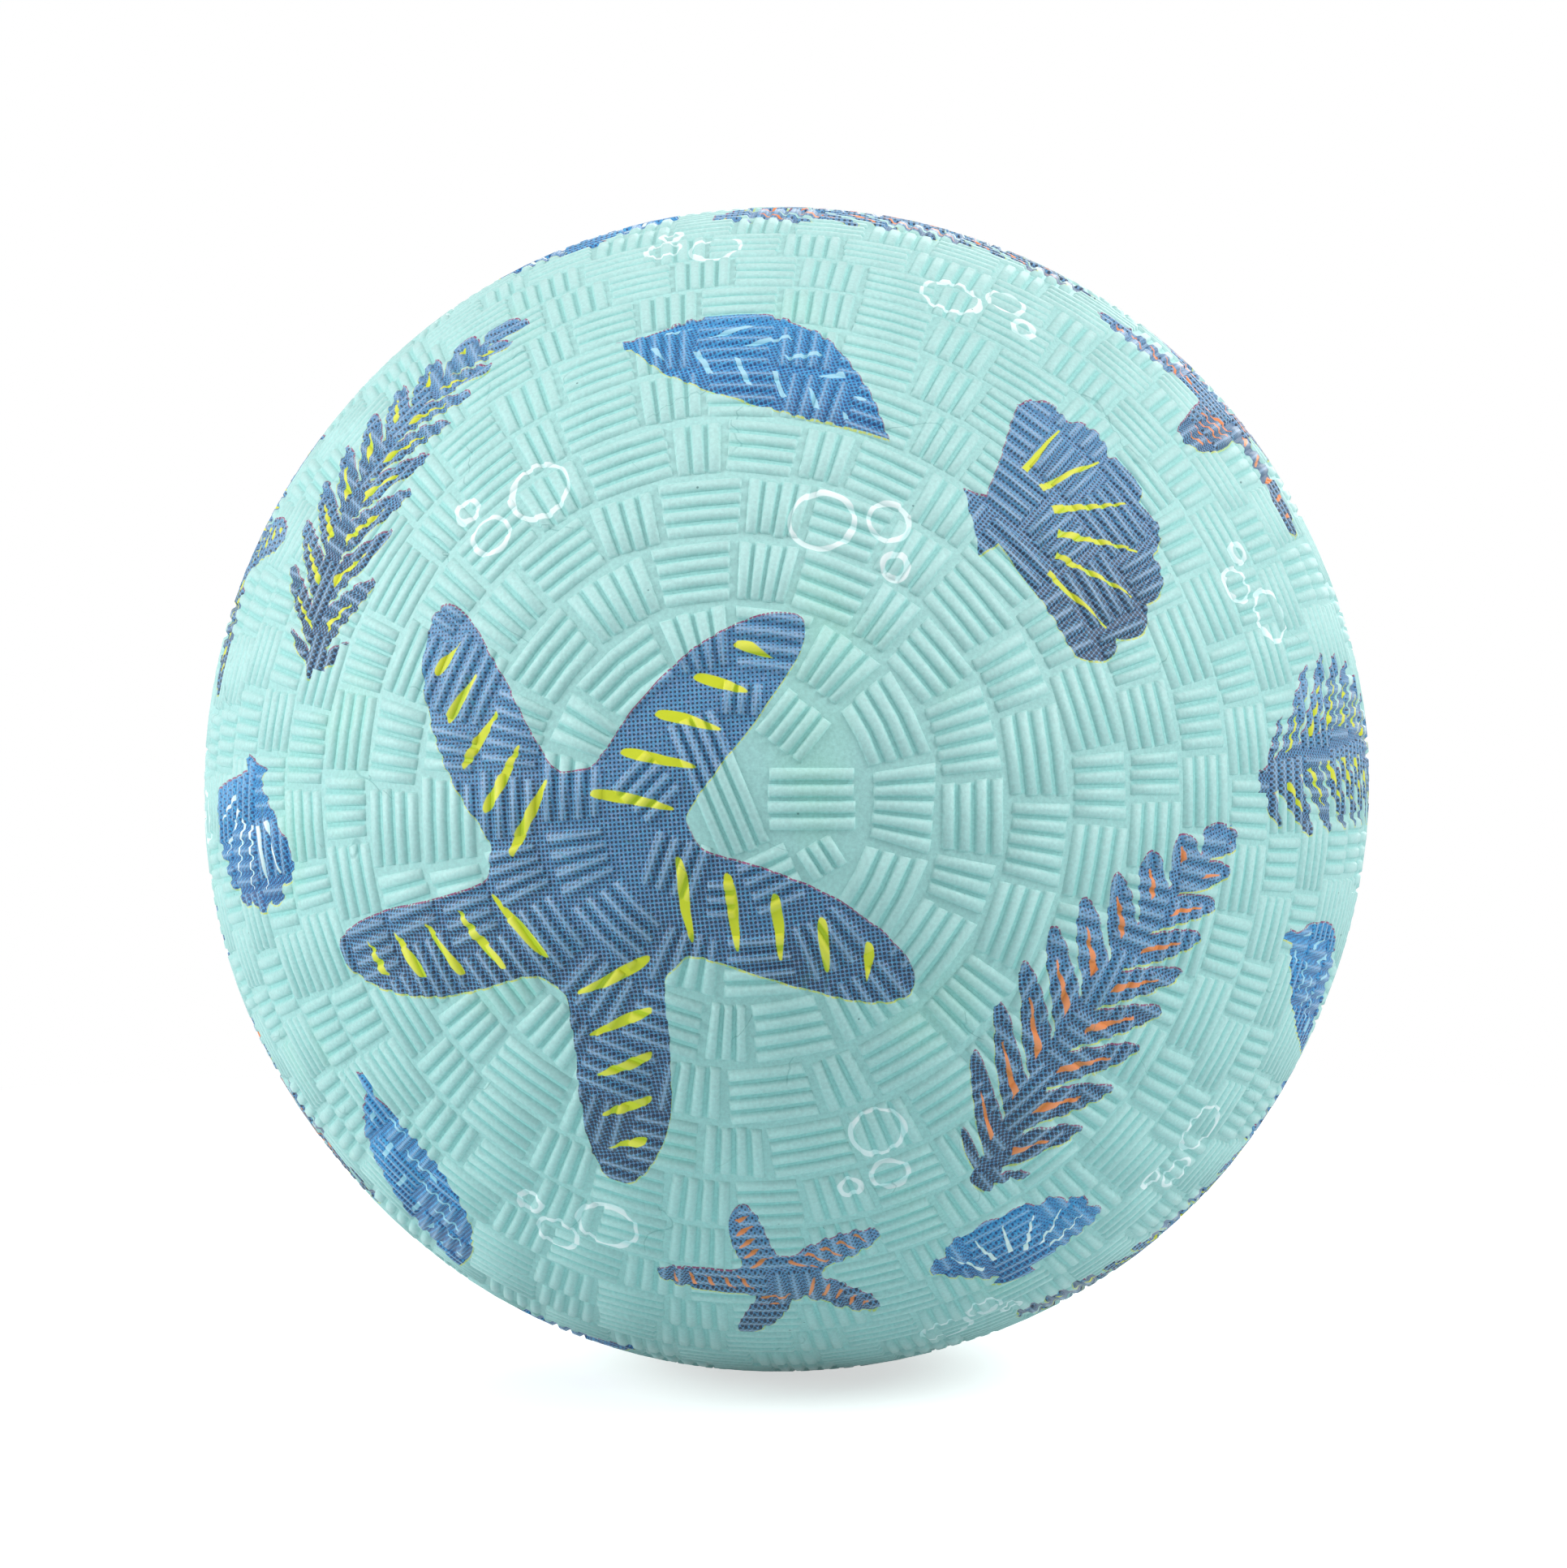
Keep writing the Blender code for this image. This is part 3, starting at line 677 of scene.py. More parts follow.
def frond_shape():
    """A bowed stem with slanted leaflets on both sides, a dash of colour down each leaflet."""
    tree, x, y, scale = shape_group("frond")
    half = FROND_LENGTH / 2
    side = off_midline(tree, x, y, FROND_BOW)
    share = add(tree, "Math:DIVIDE", x, half)
    width = add(tree, "Math:MULTIPLY_ADD", share, -0.28, 1.0)
    width = add(tree, "Math:MULTIPLY", width, dome(tree, share, 0.5))
    width = add(tree, "Math:MULTIPLY_ADD", width, FROND_WIDTH, 0.01)
    slanted = add(tree, "Math:MULTIPLY_ADD", side, -0.8, x)
    off_leaflet = add(tree, "Math:PINGPONG", slanted, FROND_STEP / 2)
    out = add(tree, "Math:DIVIDE", side, width)
    leaflet = add(tree, "Math:MULTIPLY_ADD", dome(tree, out, 0.5), -2.25, off_leaflet)
    leaflet = overlap(tree, leaflet, add(tree, "Math:SUBTRACT", side, width))
    stem = add(tree, "Math:ADD", add(tree, "Math:MULTIPLY_ADD", share, 0.6, -1.2), side)
    past_tip = add(tree, "Math:SUBTRACT", x, half * 0.9)
    past_foot = add(tree, "Math:SUBTRACT", -half * 1.05, x)
    body = add(tree, "Math:MINIMUM", leaflet, overlap(tree, stem, past_tip, past_foot))
    past_dash = add(tree, "Math:MULTIPLY_ADD", width, -0.68, side)
    dash = add(tree, "Math:ADD", off_leaflet, add(tree, "Math:MULTIPLY_ADD", past_dash, 0.1, -0.12))
    near_stem = add(tree, "Math:SUBTRACT", 1.7, side)
    return close_shape(tree, scale, body, overlap(tree, dash, past_dash, near_stem))


def shell_shape():
    """A scallop: a fan with a wavy rim, two small ears at the hinge, and pale lines between its ribs."""
    tree, x, y, scale = shape_group("shell")
    rise = add(tree, "Math:ADD", y, SHELL_HEIGHT * 0.46)
    far = add(tree, "VectorMath:LENGTH", add(tree, "CombineXYZ", x, rise, 0.0)).outputs["Value"]
    angle = add(tree, "Math:ARCTAN2", x, rise)
    off_rib = add(tree, "Math:PINGPONG", add(tree, "Math:DIVIDE", angle, SHELL_FOLD), 0.5)
    rim = add(tree, "Math:MULTIPLY", angle, angle)
    rim = add(tree, "Math:MULTIPLY_ADD", rim, -0.16 * SHELL_HEIGHT, SHELL_HEIGHT)
    notch = add(tree, "Math:MULTIPLY", off_rib, off_rib)
    notch = add(tree, "Math:MULTIPLY_ADD", notch, -0.28 * SHELL_HEIGHT, rim)
    fan = add(tree, "Math:SUBTRACT", far, notch)
    past_side = add(tree, "Math:SUBTRACT", add(tree, "Math:ABSOLUTE", angle), 3.5 * SHELL_FOLD)
    past_side = add(tree, "Math:MULTIPLY", past_side, far)
    ear_x = add(tree, "Math:MULTIPLY_ADD", rise, 0.5, -2.7)
    ear_x = add(tree, "Math:ADD", add(tree, "Math:ABSOLUTE", x), ear_x)
    ear_y = add(tree, "Math:ABSOLUTE", add(tree, "Math:SUBTRACT", rise, 0.6))
    ear_y = add(tree, "Math:SUBTRACT", ear_y, 1.1)
    body = add(tree, "Math:MINIMUM", overlap(tree, fan, past_side), overlap(tree, ear_x, ear_y))
    line = add(tree, "Math:MULTIPLY", add(tree, "Math:SUBTRACT", 0.5, off_rib), far)
    line = add(tree, "Math:MULTIPLY", line, SHELL_FOLD)
    past_line = add(tree, "Math:MULTIPLY_ADD", rim, -0.85, far)
    line = add(tree, "Math:ADD", line, add(tree, "Math:MULTIPLY_ADD", past_line, 0.035, -0.08))
    near_hinge = add(tree, "Math:SUBTRACT", 0.4 * SHELL_HEIGHT, far)
    near_side = add(tree, "Math:ADD", past_side, 0.8)
    return close_shape(tree, scale, body, overlap(tree, line, past_line, near_hinge, near_side))


def leaf_shape():
    """A pointed leaf with a short stalk, a bare midrib and slanted veins."""
    tree, x, y, scale = shape_group("leaf")
    half = LEAF_LENGTH / 2
    side = off_midline(tree, x, y, LEAF_BOW)
    share = add(tree, "Math:DIVIDE", x, half)
    width = add(tree, "Math:SUBTRACT", 1.0, add(tree, "Math:MULTIPLY", share, share))
    width = add(tree, "Math:MULTIPLY", width, add(tree, "Math:MULTIPLY_ADD", share, -0.25, 1.0))
    width = add(tree, "Math:MULTIPLY", width, LEAF_WIDTH)
    blade = add(tree, "Math:SUBTRACT", side, width)
    stalk = add(tree, "Math:SUBTRACT", side, 0.55)
    past_foot = add(tree, "Math:SUBTRACT", -half * 1.1, x)
    body = add(tree, "Math:MINIMUM", blade, overlap(tree, stalk, x, past_foot))
    off_vein = add(tree, "Math:PINGPONG", add(tree, "Math:SUBTRACT", x, side), VEIN_STEP / 2)
    vein = add(tree, "Math:SUBTRACT", off_vein, 0.3)
    past_vein = add(tree, "Math:MULTIPLY_ADD", width, -0.66, side)
    midrib = add(tree, "Math:SUBTRACT", 0.9, side)
    return close_shape(tree, scale, body, overlap(tree, vein, past_vein, midrib))


def bubbles_shape():
    """Three open rings of unlike size, drawn with a brush whose line swells and thins."""
    tree, x, y, scale = shape_group("bubbles")
    spot = add(tree, "CombineXYZ", x, y, 0.0)
    brush = add(tree, "MapRange", add(tree, "TexNoise", spot, 1 / 4.5, 1.0, 0.4), 0.32, 0.68, 0.18, 0.4)
    body = FAR_OUTSIDE
    for middle, radius in BUBBLE_RINGS:
        off_middle = add(tree, "VectorMath:DISTANCE", spot, middle).outputs["Value"]
        line = add(tree, "Math:ABSOLUTE", add(tree, "Math:SUBTRACT", off_middle, radius))
        body = add(tree, "Math:MINIMUM", body, add(tree, "Math:SUBTRACT", line, brush))
    return close_shape(tree, scale, body, FAR_OUTSIDE)


# Materials


def new_material(name):
    """An empty material and its node tree."""
    material = bpy.data.materials.new(name)
    material.use_nodes = True
    material.node_tree.nodes.clear()
    return material, material.node_tree


def coverage(tree, outside, soft=EDGE_SOFT):
    """1 inside a shape and 0 outside it, with an edge twice as wide as soft."""
    return add(tree, "MapRange", outside, soft, -soft, 0.0, 1.0, interpolation_type="SMOOTHSTEP")


def dot_screen(tree, place, size):
    """A printer's screen of round dots; size is a dot's radius as a share of the pitch."""
    cell = add(tree, "VectorRotate", place, rotation_type="Z_AXIS", Angle=SCREEN_ANGLE)
    cell = add(tree, "VectorMath:SCALE", cell, Scale=1 / DOT_PITCH)
    cell = add(tree, "VectorMath:SUBTRACT", add(tree, "VectorMath:FRACTION", cell), (0.5, 0.5, 0.0))
    cell = add(tree, "VectorMath:MULTIPLY", cell, (1.0, 1.0, 0.0))
    off_middle = add(tree, "VectorMath:LENGTH", cell).outputs["Value"]
    return coverage(tree, add(tree, "Math:SUBTRACT", off_middle, size), DOT_SOFT)


def mottled(tree, spot, size, detail, roughness, low, high, most):
    """A cloudy pattern of a given size, from 0 where its noise is below low up to most where above high."""
    noise = add(tree, "TexNoise", spot, 1 / size, detail, roughness)
    return add(tree, "MapRange", noise, low, high, 0.0, most)


def bare_rubber(tree, spot, rise):
    """Colour of the rubber without print: softly clouded, a little greener where it has bloomed, finely
    mottled, and painted paler on the ribs' crests as a highlight."""
    cloud = mottled(tree, spot, 26 * MM, 3.0, 0.55, 0.3, 0.7, 1.0)
    colour = add(tree, "Mix:RGBA", cloud, ink("#9BC2C0"), ink("#A4C9C7"))
    bloom = mottled(tree, spot, 17 * MM, 2.0, 0.5, 0.6, 0.74, 0.28)
    colour = add(tree, "Mix:RGBA", bloom, colour, ink("#93CFB2"))
    fleck = mottled(tree, spot, 0.35 * MM, 2.0, 0.6, 0.35, 0.75, 0.65)
    colour = add(tree, "Mix:RGBA", fleck, colour, ink("#B4DFDB"))
    # painted highlight: the ribs' crests are drawn paler
    crest_highlight = add(tree, "Math:MULTIPLY", rise, 0.1)
    return add(tree, "Mix:RGBA", crest_highlight, colour, ink("#B9E2DE"))


def plate_fringes(tree, shape, place, drawn, inside, colour):
    """Dotted fringes of colour along a motif's upper and lower edge, where two plates slipped."""
    down = add(tree, "Attribute:motif_down").outputs["Vector"]
    screen = dot_screen(tree, place, 0.5)
    for slip, fringe in FRINGES:
        slipped = add(tree, "VectorMath:ADD", drawn, add(tree, "VectorMath:SCALE", down, Scale=slip))
        plate = add(tree, "Group", slipped, node_tree=shape)
        edge = add(tree, "Math:SUBTRACT", coverage(tree, plate.outputs["Body"]), inside)
        edge = add(tree, "Math:MULTIPLY", edge, screen, use_clamp=True)
        colour = add(tree, "Mix:RGBA", edge, colour, ink(fringe))
    return colour


def screened_film(tree, spot, rise, place, inks):
    """Colour of a film of four inks: a ground, flecks of two tints, and a screen of dark dots that grow
    towards the motif's lower side. Along the middle of the ribs' crests the film is drawn pale: partly thin,
    rubbed ink, partly a painted highlight."""
    ground, tint, other_tint, dark = inks
    blotch = add(tree, "TexNoise", spot, 1 / (9 * MM), 2.0, 0.5)
    low = add(tree, "Attribute:motif_low").outputs["Fac"]
    dot_size = add(tree, "MapRange", add(tree, "Math:MULTIPLY_ADD", blotch, 1.2, low), -0.1, 1.3, 0.25, 0.46)
    film = ink(ground)
    for fleck_colour, offset in ((tint, (0, 0, 0)), (other_tint, (31, 17, 0))):
        shifted = add(tree, "VectorMath:ADD", place, offset)
        fleck = mottled(tree, shifted, 0.6 * DOT_PITCH, 1.0, 0.5, 0.5, 0.66, 0.9)
        film = add(tree, "Mix:RGBA", fleck, film, ink(fleck_colour))
    film = add(tree, "Mix:RGBA", dot_screen(tree, place, dot_size), film, ink(dark))
    # partly thin, rubbed ink and partly a painted highlight: a pale streak along the middle of each crest
    crest = add(tree, "Math:ABSOLUTE", add(tree, "Attribute:rib_across").outputs["Fac"])
    crest = add(tree, "Math:MULTIPLY", add(tree, "MapRange", crest, 0.3, 0.08, 0.0, 0.45), rise)
    return add(tree, "Mix:RGBA", crest, film, ink("#9FB9DA"))


def printed(tree, spot, rise, colour, shape, inks, accent):
    """Lays a motif's film of ink over the rubber's colour, a little thin on the ribs' crests."""
    place = add(tree, "Attribute:motif_place").outputs["Vector"]
    wander = add(tree, "TexNoise", spot, 1 / (6 * MM), 2.0, 0.5).outputs["Color"]
    wander = add(tree, "VectorMath:SUBTRACT", wander, (0.5, 0.5, 0.5))
    drawn = add(tree, "VectorMath:ADD", place, add(tree, "VectorMath:MULTIPLY", wander, (0.8, 0.8, 0.0)))
    motif = add(tree, "Group", drawn, node_tree=shape)
    inside = coverage(tree, motif.outputs["Body"])
    film = ink(inks[0])
    if len(inks) > 1:
        colour = plate_fringes(tree, shape, place, drawn, inside, colour)
        film = screened_film(tree, spot, rise, place, inks)
    if accent:
        film = add(tree, "Mix:RGBA", coverage(tree, motif.outputs["Accent"]), film, ink(accent))
    thin = add(tree, "MapRange", rise, 0.35, 0.95, 1.0, 0.93)
    return add(tree, "Mix:RGBA", add(tree, "Math:MULTIPLY", inside, thin), colour, film)


def rubber_surface(tree, colour, matt, relief, depth, strength):
    """Closes a rubber's nodes, from its colour, its roughness and the relief of its skin."""
    bump = add(tree, "Bump", Height=relief, Distance=depth, Strength=strength)
    inputs = {"Base Color": colour, "Roughness": matt, "Normal": bump, "IOR": RUBBER_IOR}
    add(tree, "OutputMaterial", add(tree, "BsdfPrincipled", **inputs))


def cover_rubber(name, shape=None, inks=(), accent=None):
    """Turquoise natural rubber, cured in a mould whose face was blasted matt: satin and clouded, with painted
    shade in the grooves, a few hair creases darkened with painted shade, specks of dust and a fine grain of
    0.15 mm, drawn three times as coarse so that it shows. With a shape it also carries the print: screened
    inks under the matt skin."""
    material, tree = new_material(name)
    spot = add(tree, "TexCoord").outputs["Object"]
    rise = add(tree, "Attribute:rib_rise").outputs["Fac"]
    colour = bare_rubber(tree, spot, rise)
    if shape:
        colour = printed(tree, spot, rise, colour, shape, inks, accent)
    # painted shade in the grooves: the ground between the ribs is drawn a deeper turquoise
    hollow = add(tree, "Attribute:rib_hollow").outputs["Fac"]
    colour = add(tree, "Mix:RGBA", hollow, colour, ink("#E0F9F8"), blend_type="MULTIPLY")
    crease = add(tree, "TexNoise", spot, 1 / (11 * MM), 1.0, 0.4)
    crease = add(tree, "Math:ABSOLUTE", add(tree, "Math:SUBTRACT", crease, 0.5))
    crease = add(tree, "MapRange", crease, 0.004, 0.001, 0.0, 1.0)
    sparse = mottled(tree, spot, 8 * MM, 1.0, 0.4, 0.58, 0.64, 1.0)
    crease = add(tree, "Math:MULTIPLY", crease, sparse)
    # painted shade: the creases are drawn darker; their dent comes from the relief further down
    colour = add(tree, "Mix:RGBA", add(tree, "Math:MULTIPLY", crease, 0.35), colour, ink("#4E8C8C"))
    dust = add(tree, "TexVoronoi", spot, Scale=1 / (5 * MM)).outputs["Distance"]
    dust = add(tree, "MapRange", dust, 0.03, 0.018, 0.0, 0.75)
    colour = add(tree, "Mix:RGBA", dust, colour, ink("#3F6A6C"))
    grain = add(tree, "TexNoise", spot, 1 / (0.45 * MM), 2.0, 0.6)
    matt = add(tree, "MapRange", grain, 0.3, 0.7, 0.5, 0.62)
    relief = add(tree, "Math:MULTIPLY_ADD", crease, -0.8, grain)
    rubber_surface(tree, colour, matt, relief, 0.04 * MM, 0.7)
    return material


def plain_rubber(name, dark, light, cloud_size, grain_size, rough):
    """A moulded or calendered rubber of one colour: softly clouded, with the grain of its mould or roll."""
    material, tree = new_material(name)
    spot = add(tree, "TexCoord").outputs["Object"]
    cloud = mottled(tree, spot, cloud_size, 3.0, 0.55, 0.3, 0.7, 1.0)
    colour = add(tree, "Mix:RGBA", cloud, ink(dark), ink(light))
    grain = add(tree, "TexNoise", spot, 1 / grain_size, 3.0, 0.6)
    matt = add(tree, "MapRange", grain, 0.3, 0.7, rough - 0.06, rough + 0.06)
    rubber_surface(tree, colour, matt, grain, 0.03 * MM, 0.6)
    return material


def seen_itself(tree):
    """1 where a surface is seen itself, in a mirror or through glass, and 0 where it only sends light on."""
    path = add(tree, "LightPath").outputs
    seen = add(tree, "Math:MAXIMUM", path["Is Camera Ray"], path["Is Glossy Ray"])
    return add(tree, "Math:MAXIMUM", seen, path["Is Transmission Ray"])


def white_paper():
    """A sweep of matt white paper: the camera sees it white, with the ball's shadow on it near the ball."""
    material, tree = new_material("matt_white_paper")
    spot = add(tree, "TexCoord").outputs["Object"]
    fibre = add(tree, "TexNoise", spot, 1 / (0.8 * MM), 3.0, 0.6)
    paper = add(tree, "BsdfDiffuse", add(tree, "Mix:RGBA", fibre, ink("#C3D8DB"), ink("#C9DEE1")))
    pale = add(tree, "BsdfDiffuse", ink("#E4E4E2"))
    lit = add(tree, "AddShader", pale, add(tree, "Emission", ink("#FFFFFF"), 0.6))
    far = add(tree, "VectorMath:LENGTH", spot).outputs["Value"]
    far = add(tree, "MapRange", far, 2 * CREST_RADIUS, 5 * CREST_RADIUS, 0.0, 1.0)
    swept = add(tree, "MixShader", far, lit, add(tree, "Emission", ink("#FFFFFF"), 1.0))
    add(tree, "OutputMaterial", add(tree, "MixShader", seen_itself(tree), paper, swept))
    return material


# Pieces


def add_piece(name, mesh, materials, node):
    """Links a piece that rides with the ball and stands for a node of the frame."""
    piece = bpy.data.objects.new(name, mesh)
    bpy.context.collection.objects.link(piece)
    for material in materials:
        mesh.materials.append(material)
    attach(piece, "root")
    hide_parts(node)
    return piece


def bake_map(mesh):
    """A flat map of the cover: the six sides of a cube round it, with the hidden inner face kept small."""
    centres, spots, corner_spots, face = mesh_arrays(mesh)
    count, corners = len(centres), len(corner_spots)
    axis = np.abs(centres).argmax(1)
    back = centres[np.arange(count), axis] < 0
    inner = (np.linalg.norm(centres, axis=1) < INNER_RADIUS + COVER_WALL / 20)[face]
    axis, back, corner = axis[face], back[face], spots[corner_spots]
    depth = np.clip((GROUND_RADIUS - np.linalg.norm(corner, axis=1)) / COVER_WALL, 0, 1)
    main, first, second = (corner[np.arange(corners), (axis + turn) % 3] for turn in range(3))
    fill = MAP_FILL * np.where(inner, 1.0, 1 - MAP_WALL_SHRINK * depth) / (math.pi / 4)
    first, second = (np.arctan2(way, np.abs(main)) * fill for way in (first, second))
    column = np.where(inner, (axis * 2 + back + 0.5) / 6 + first * MAP_TINY, (axis + 0.5 + first / 2) / 3)
    row = np.where(inner, MAP_TINY_ROW + second * MAP_TINY, (back + 0.5 + second / 2) * MAP_ROW)
    flat = np.stack([column, row], axis=1)
    mesh.uv_layers.new(name="OFBake").data.foreach_set("uv", flat.ravel())


def woven_cover():
    """The moulded shell with its basket weave, the valve's land and hole, and the printed design."""
    star, frond, shell, leaf = starfish_shape(), frond_shape(), shell_shape(), leaf_shape()
    denim = ("#4C7EAC", "#8096BE", "#589CC6", "#0B2440")
    blue = ("#2580BC", "#5496CB", "#40A4D7", "#143F74")
    lime, orange, white = "#D5D214", "#E8813F", "#E6EFEF"
    materials = {
        "bare": cover_rubber("moulded_turquoise_rubber"),
        "starfish_lime": cover_rubber("printed_rubber_starfish_lime", star, denim, lime),
        "starfish_orange": cover_rubber("printed_rubber_starfish_orange", star, denim, orange),
        "frond_lime": cover_rubber("printed_rubber_frond_lime", frond, denim, lime),
        "frond_orange": cover_rubber("printed_rubber_frond_orange", frond, denim, orange),
        "shell_denim": cover_rubber("printed_rubber_shell_denim", shell, denim, lime),
        "shell_blue": cover_rubber("printed_rubber_shell_blue", shell, blue, white),
        "leaf_blue": cover_rubber("printed_rubber_leaf_blue", leaf, blue, "#9CCBE0"),
        "bubbles": cover_rubber("printed_rubber_bubbles", bubbles_shape(), (white,)),
    }
    mesh = cover_mesh()
    piece = add_piece("woven_cover", mesh, materials.values(), "rubber_cover")
    place_design(mesh, materials)
    bake_map(mesh)
    return piece


def rounded(corners):
    """A turned profile of (across, height, radius) corners, with each corner drawn as an arc."""
    outline = []
    for (ax, ay, _), (bx, by, radius), (cx, cy, _) in zip(corners[-1:] + corners[:-1], corners,
                                                         corners[1:] + corners[:1]):
        corner = Vector((bx, by))
        before, after = (Vector((ax, ay)) - corner).normalized(), (Vector((cx, cy)) - corner).normalized()
        if radius <= 0:
            outline.append(corner)
            continue
        half = before.angle(after) / 2
        middle = corner + (before + after).normalized() * radius / math.sin(half)
        start = corner + before * radius / math.tan(half) - middle
        stop = corner + after * radius / math.tan(half) - middle
        for step in range(ROUND_STEPS + 1):
            share = step / ROUND_STEPS
            outline.append(middle + (start * (1 - share) + stop * share).normalized() * radius)
    return outline


def turned_mesh(name, outline, closed=True):
    """Spins a profile about the valve's axis, +Y. A profile that isn't closed starts or ends on the axis."""
    body = bmesh.new()
    spots = [body.verts.new((p[0], p[1], 0.0)) for p in outline]
    edges = [body.edges.new(pair) for pair in zip(spots, spots[1:])]
    if closed:
        edges.append(body.edges.new((spots[-1], spots[0])))
    bmesh.ops.spin(body, geom=spots + edges, cent=(0, 0, 0), axis=(0, 1, 0), angle=math.tau,
                   steps=TURN_STEPS, use_merge=True)
    bmesh.ops.remove_doubles(body, verts=body.verts, dist=WELD)
    bmesh.ops.recalc_face_normals(body, faces=body.faces)
    mesh = bpy.data.meshes.new(name)
    body.to_mesh(mesh)
    body.free()
    mesh.shade_smooth()
    mesh.set_sharp_from_angle(angle=SHARP_ANGLE)
    return mesh


def turned_piece(name, outline, rubber, node, closed=True):
    """A piece of one rubber, turned from its profile."""
    return add_piece(name, turned_mesh(name, outline, closed), [rubber], node)


def ply_outline(outer, inner, start, end):
    """Profile of a shell between two spheres, from one angle off the +Y pole to another."""
    angles = [start + (end - start) * step / PLY_ROWS for step in range(PLY_ROWS + 1)]
    outside = [(outer * math.sin(a), outer * math.cos(a)) for a in angles]
    inside = [(inner * math.sin(a), inner * math.cos(a)) for a in angles]
    return outside, inside


def bladder_ply():
    """The air-tight inner ply, a thin ball with a hole for the valve."""
    inner = BLADDER_RADIUS - BLADDER_WALL
    hole = math.asin(HOLE_RADIUS / BLADDER_RADIUS)
    outside, inside = ply_outline(BLADDER_RADIUS, inner, hole, math.pi)
    outline = [(0.0, -BLADDER_RADIUS), *outside[-2::-1], *inside[:-1], (0.0, -inner)]
    # Calendered butyl: near black, evenly dull, with the faint cloth grain of the roll
    butyl = plain_rubber("calendered_black_butyl", "#2A2B2D", "#333436", 20 * MM, 0.5 * MM, 0.6)
    return turned_piece("bladder_ply", outline, butyl, "bladder", closed=False)


def valve_disc():
    """The reinforcing disc round the valve, inside the bladder."""
    low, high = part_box("valve_patch")
    edge = math.asin((high.x - low.x) / 2 / DISC_CROWN)
    hole = math.asin(HOLE_RADIUS / DISC_CROWN)
    outside, inside = ply_outline(DISC_CROWN, DISC_CROWN - DISC_THICKNESS, hole, edge)
    outline = [*outside, *inside[::-1]]
    # Calendered rubber sheet: dark grey and dull
    sheet = plain_rubber("calendered_grey_rubber", "#5A5C5E", "#636567", 12 * MM, 0.4 * MM, 0.62)
    return turned_piece("valve_disc", outline, sheet, "valve_patch")


def valve_body():
    """The moulded housing: mouth and neck in the cover, flange behind the disc, body in the air space."""
    low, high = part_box("valve_housing")
    flange = (high.x - low.x) / 2
    mouth_top, body_bottom = high.y, low.y
    bend = flange * 0.6
    crown = math.sqrt(FLANGE_CROWN ** 2 - flange ** 2)
    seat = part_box("valve_plug")[1].y - HEAD_THICKNESS - SEAT_GAP
    outline = rounded([
        (MOUTH_RADIUS, mouth_top, EDGE_ROUND),
        (NECK_RADIUS, mouth_top, EDGE_ROUND),
        (NECK_RADIUS, math.sqrt(FLANGE_CROWN ** 2 - NECK_RADIUS ** 2), SMALL_ROUND),
        (bend, math.sqrt(FLANGE_CROWN ** 2 - bend ** 2), 0.0),
        (flange, crown, EDGE_ROUND),
        (flange, crown - FLANGE_THICKNESS, EDGE_ROUND),
        (BODY_RADIUS, FLANGE_CROWN - 2 * FLANGE_THICKNESS, FLANGE_FOOT_ROUND),
        (BODY_RADIUS, body_bottom, BODY_ROUND),
        (AIR_HOLE_RADIUS, body_bottom, EDGE_ROUND),
        (AIR_HOLE_RADIUS, body_bottom + BODY_FLOOR, EDGE_ROUND),
        (BORE_RADIUS, body_bottom + BODY_FLOOR, EDGE_ROUND),
        (BORE_RADIUS, seat, EDGE_ROUND),
        (MOUTH_RADIUS, seat, SEAT_ROUND),
    ])
    # Moulded rubber a shade deeper than the cover, satin from the mould
    housing = plain_rubber("moulded_deep_turquoise_rubber", "#8FC4C0", "#98CCC8", 6 * MM, 0.2 * MM, 0.5)
    return turned_piece("valve_body", outline, housing, "valve_housing")


def valve_insert():
    """The mushroom plug with its funnel and needle hole."""
    low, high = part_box("valve_plug")
    head = (high.x - low.x) / 2
    top, bottom = high.y, low.y
    outline = rounded([
        (FUNNEL_RADIUS, top, EDGE_ROUND),
        (head, top, EDGE_ROUND),
        (head, top - HEAD_THICKNESS, EDGE_ROUND),
        (STEM_RADIUS, top - HEAD_THICKNESS, SMALL_ROUND),
        (STEM_RADIUS, bottom, STEM_ROUND),
        (NEEDLE_RADIUS, bottom, SMALL_ROUND),
        (NEEDLE_RADIUS, top - FUNNEL_DEPTH, FUNNEL_ROUND),
    ])
    # Moulded off-white rubber, satin, a little chalky
    plug = plain_rubber("moulded_white_rubber", "#CBD2D0", "#D8DEDC", 3 * MM, 0.2 * MM, 0.52)
    return turned_piece("valve_insert", outline, plug, "valve_plug")


def valve_gum():
    """The soft pill of gum under the plug."""
    low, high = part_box("valve_core")
    radius = (high.x - low.x) / 2
    outline = rounded([
        (0.0, high.y, 0.0),
        (radius, high.y, GUM_ROUND),
        (radius, low.y, GUM_ROUND),
        (0.0, low.y, 0.0),
    ])
    # Unfilled gum rubber: amber, with a soft shine
    gum = plain_rubber("amber_gum_rubber", "#A9793D", "#B98848", 2 * MM, 0.15 * MM, 0.4)
    return turned_piece("valve_gum", outline, gum, "valve_core", closed=False)


# Stage


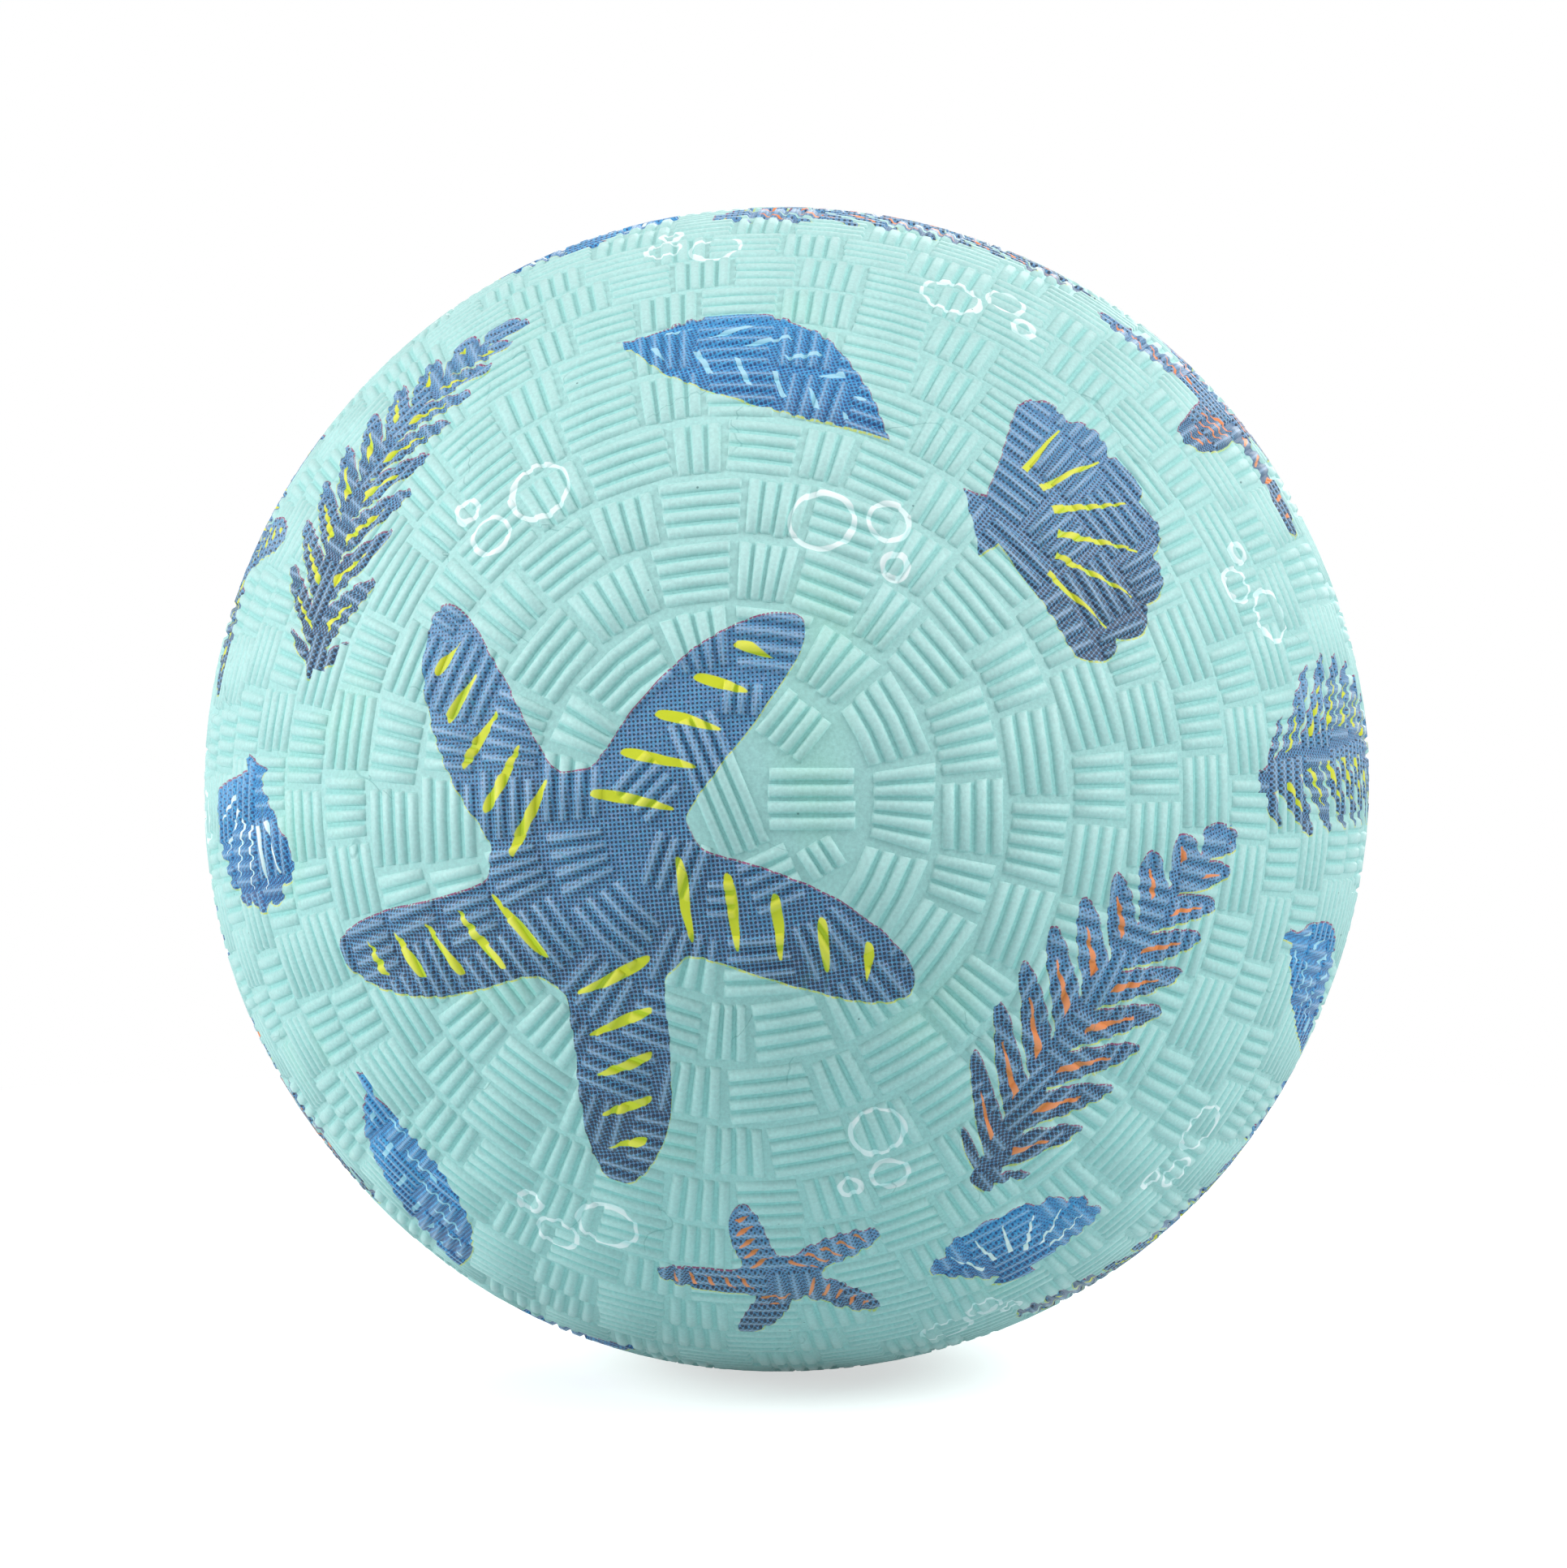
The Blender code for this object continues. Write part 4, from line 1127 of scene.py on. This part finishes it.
def add_floor():
    """The sheet of paper that the ball lies on."""
    bpy.ops.mesh.primitive_grid_add(x_subdivisions=8, y_subdivisions=8, size=FLOOR_SIZE,
                                    location=(0, 0, -CREST_RADIUS))
    floor = bpy.context.active_object
    floor.name = "paper_floor"
    floor.data.materials.append(white_paper())


def add_world():
    """White to the camera; soft grey-white light from all round."""
    world = bpy.data.worlds.new("studio")
    bpy.context.scene.world = world
    world.use_nodes = True
    tree = world.node_tree
    tree.nodes.clear()
    level = add(tree, "MapRange", seen_itself(tree), 0.0, 1.0, AMBIENT, 1.0)
    add(tree, "OutputWorld", add(tree, "Background", ink("#FFFFFF"), level))


def add_soft_light(name, location, size, watts):
    """A round softbox that faces the middle of the ball."""
    lamp = bpy.data.lights.new(name, "AREA")
    lamp.shape = "DISK"
    lamp.size = size
    lamp.energy = watts
    holder = bpy.data.objects.new(name, lamp)
    holder.location = location
    holder.rotation_euler = (-Vector(location)).to_track_quat("-Z", "Y").to_euler()
    bpy.context.collection.objects.link(holder)


def add_camera():
    """A long lens from just above the middle of the ball, framed as in the photograph."""
    lens = bpy.data.cameras.new("camera")
    lens.sensor_width = SENSOR_WIDTH
    lens.lens = FOCAL_PIXELS / IMAGE_HEIGHT * SENSOR_WIDTH
    lens.clip_start = 0.01
    lens.shift_x = (IMAGE_WIDTH / 2 - BALL_MIDDLE_PIXEL[0]) / IMAGE_HEIGHT
    lens.shift_y = (BALL_MIDDLE_PIXEL[1] - IMAGE_HEIGHT / 2) / IMAGE_HEIGHT
    camera = bpy.data.objects.new("camera", lens)
    back = Vector((math.sin(CAMERA_AZIMUTH) * math.cos(CAMERA_ELEVATION),
                   -math.cos(CAMERA_AZIMUTH) * math.cos(CAMERA_ELEVATION), math.sin(CAMERA_ELEVATION)))
    camera.location = back * CAMERA_DISTANCE
    camera.rotation_euler = (-back).to_track_quat("-Z", "Y").to_euler()
    bpy.context.collection.objects.link(camera)
    bpy.context.scene.camera = camera


woven_cover()
bladder_ply()
valve_disc()
valve_body()
valve_insert()
valve_gum()
add_floor()
add_world()
for softbox in SOFTBOXES:
    add_soft_light(*softbox)
add_camera()
bpy.context.scene.view_settings.view_transform = "Standard"
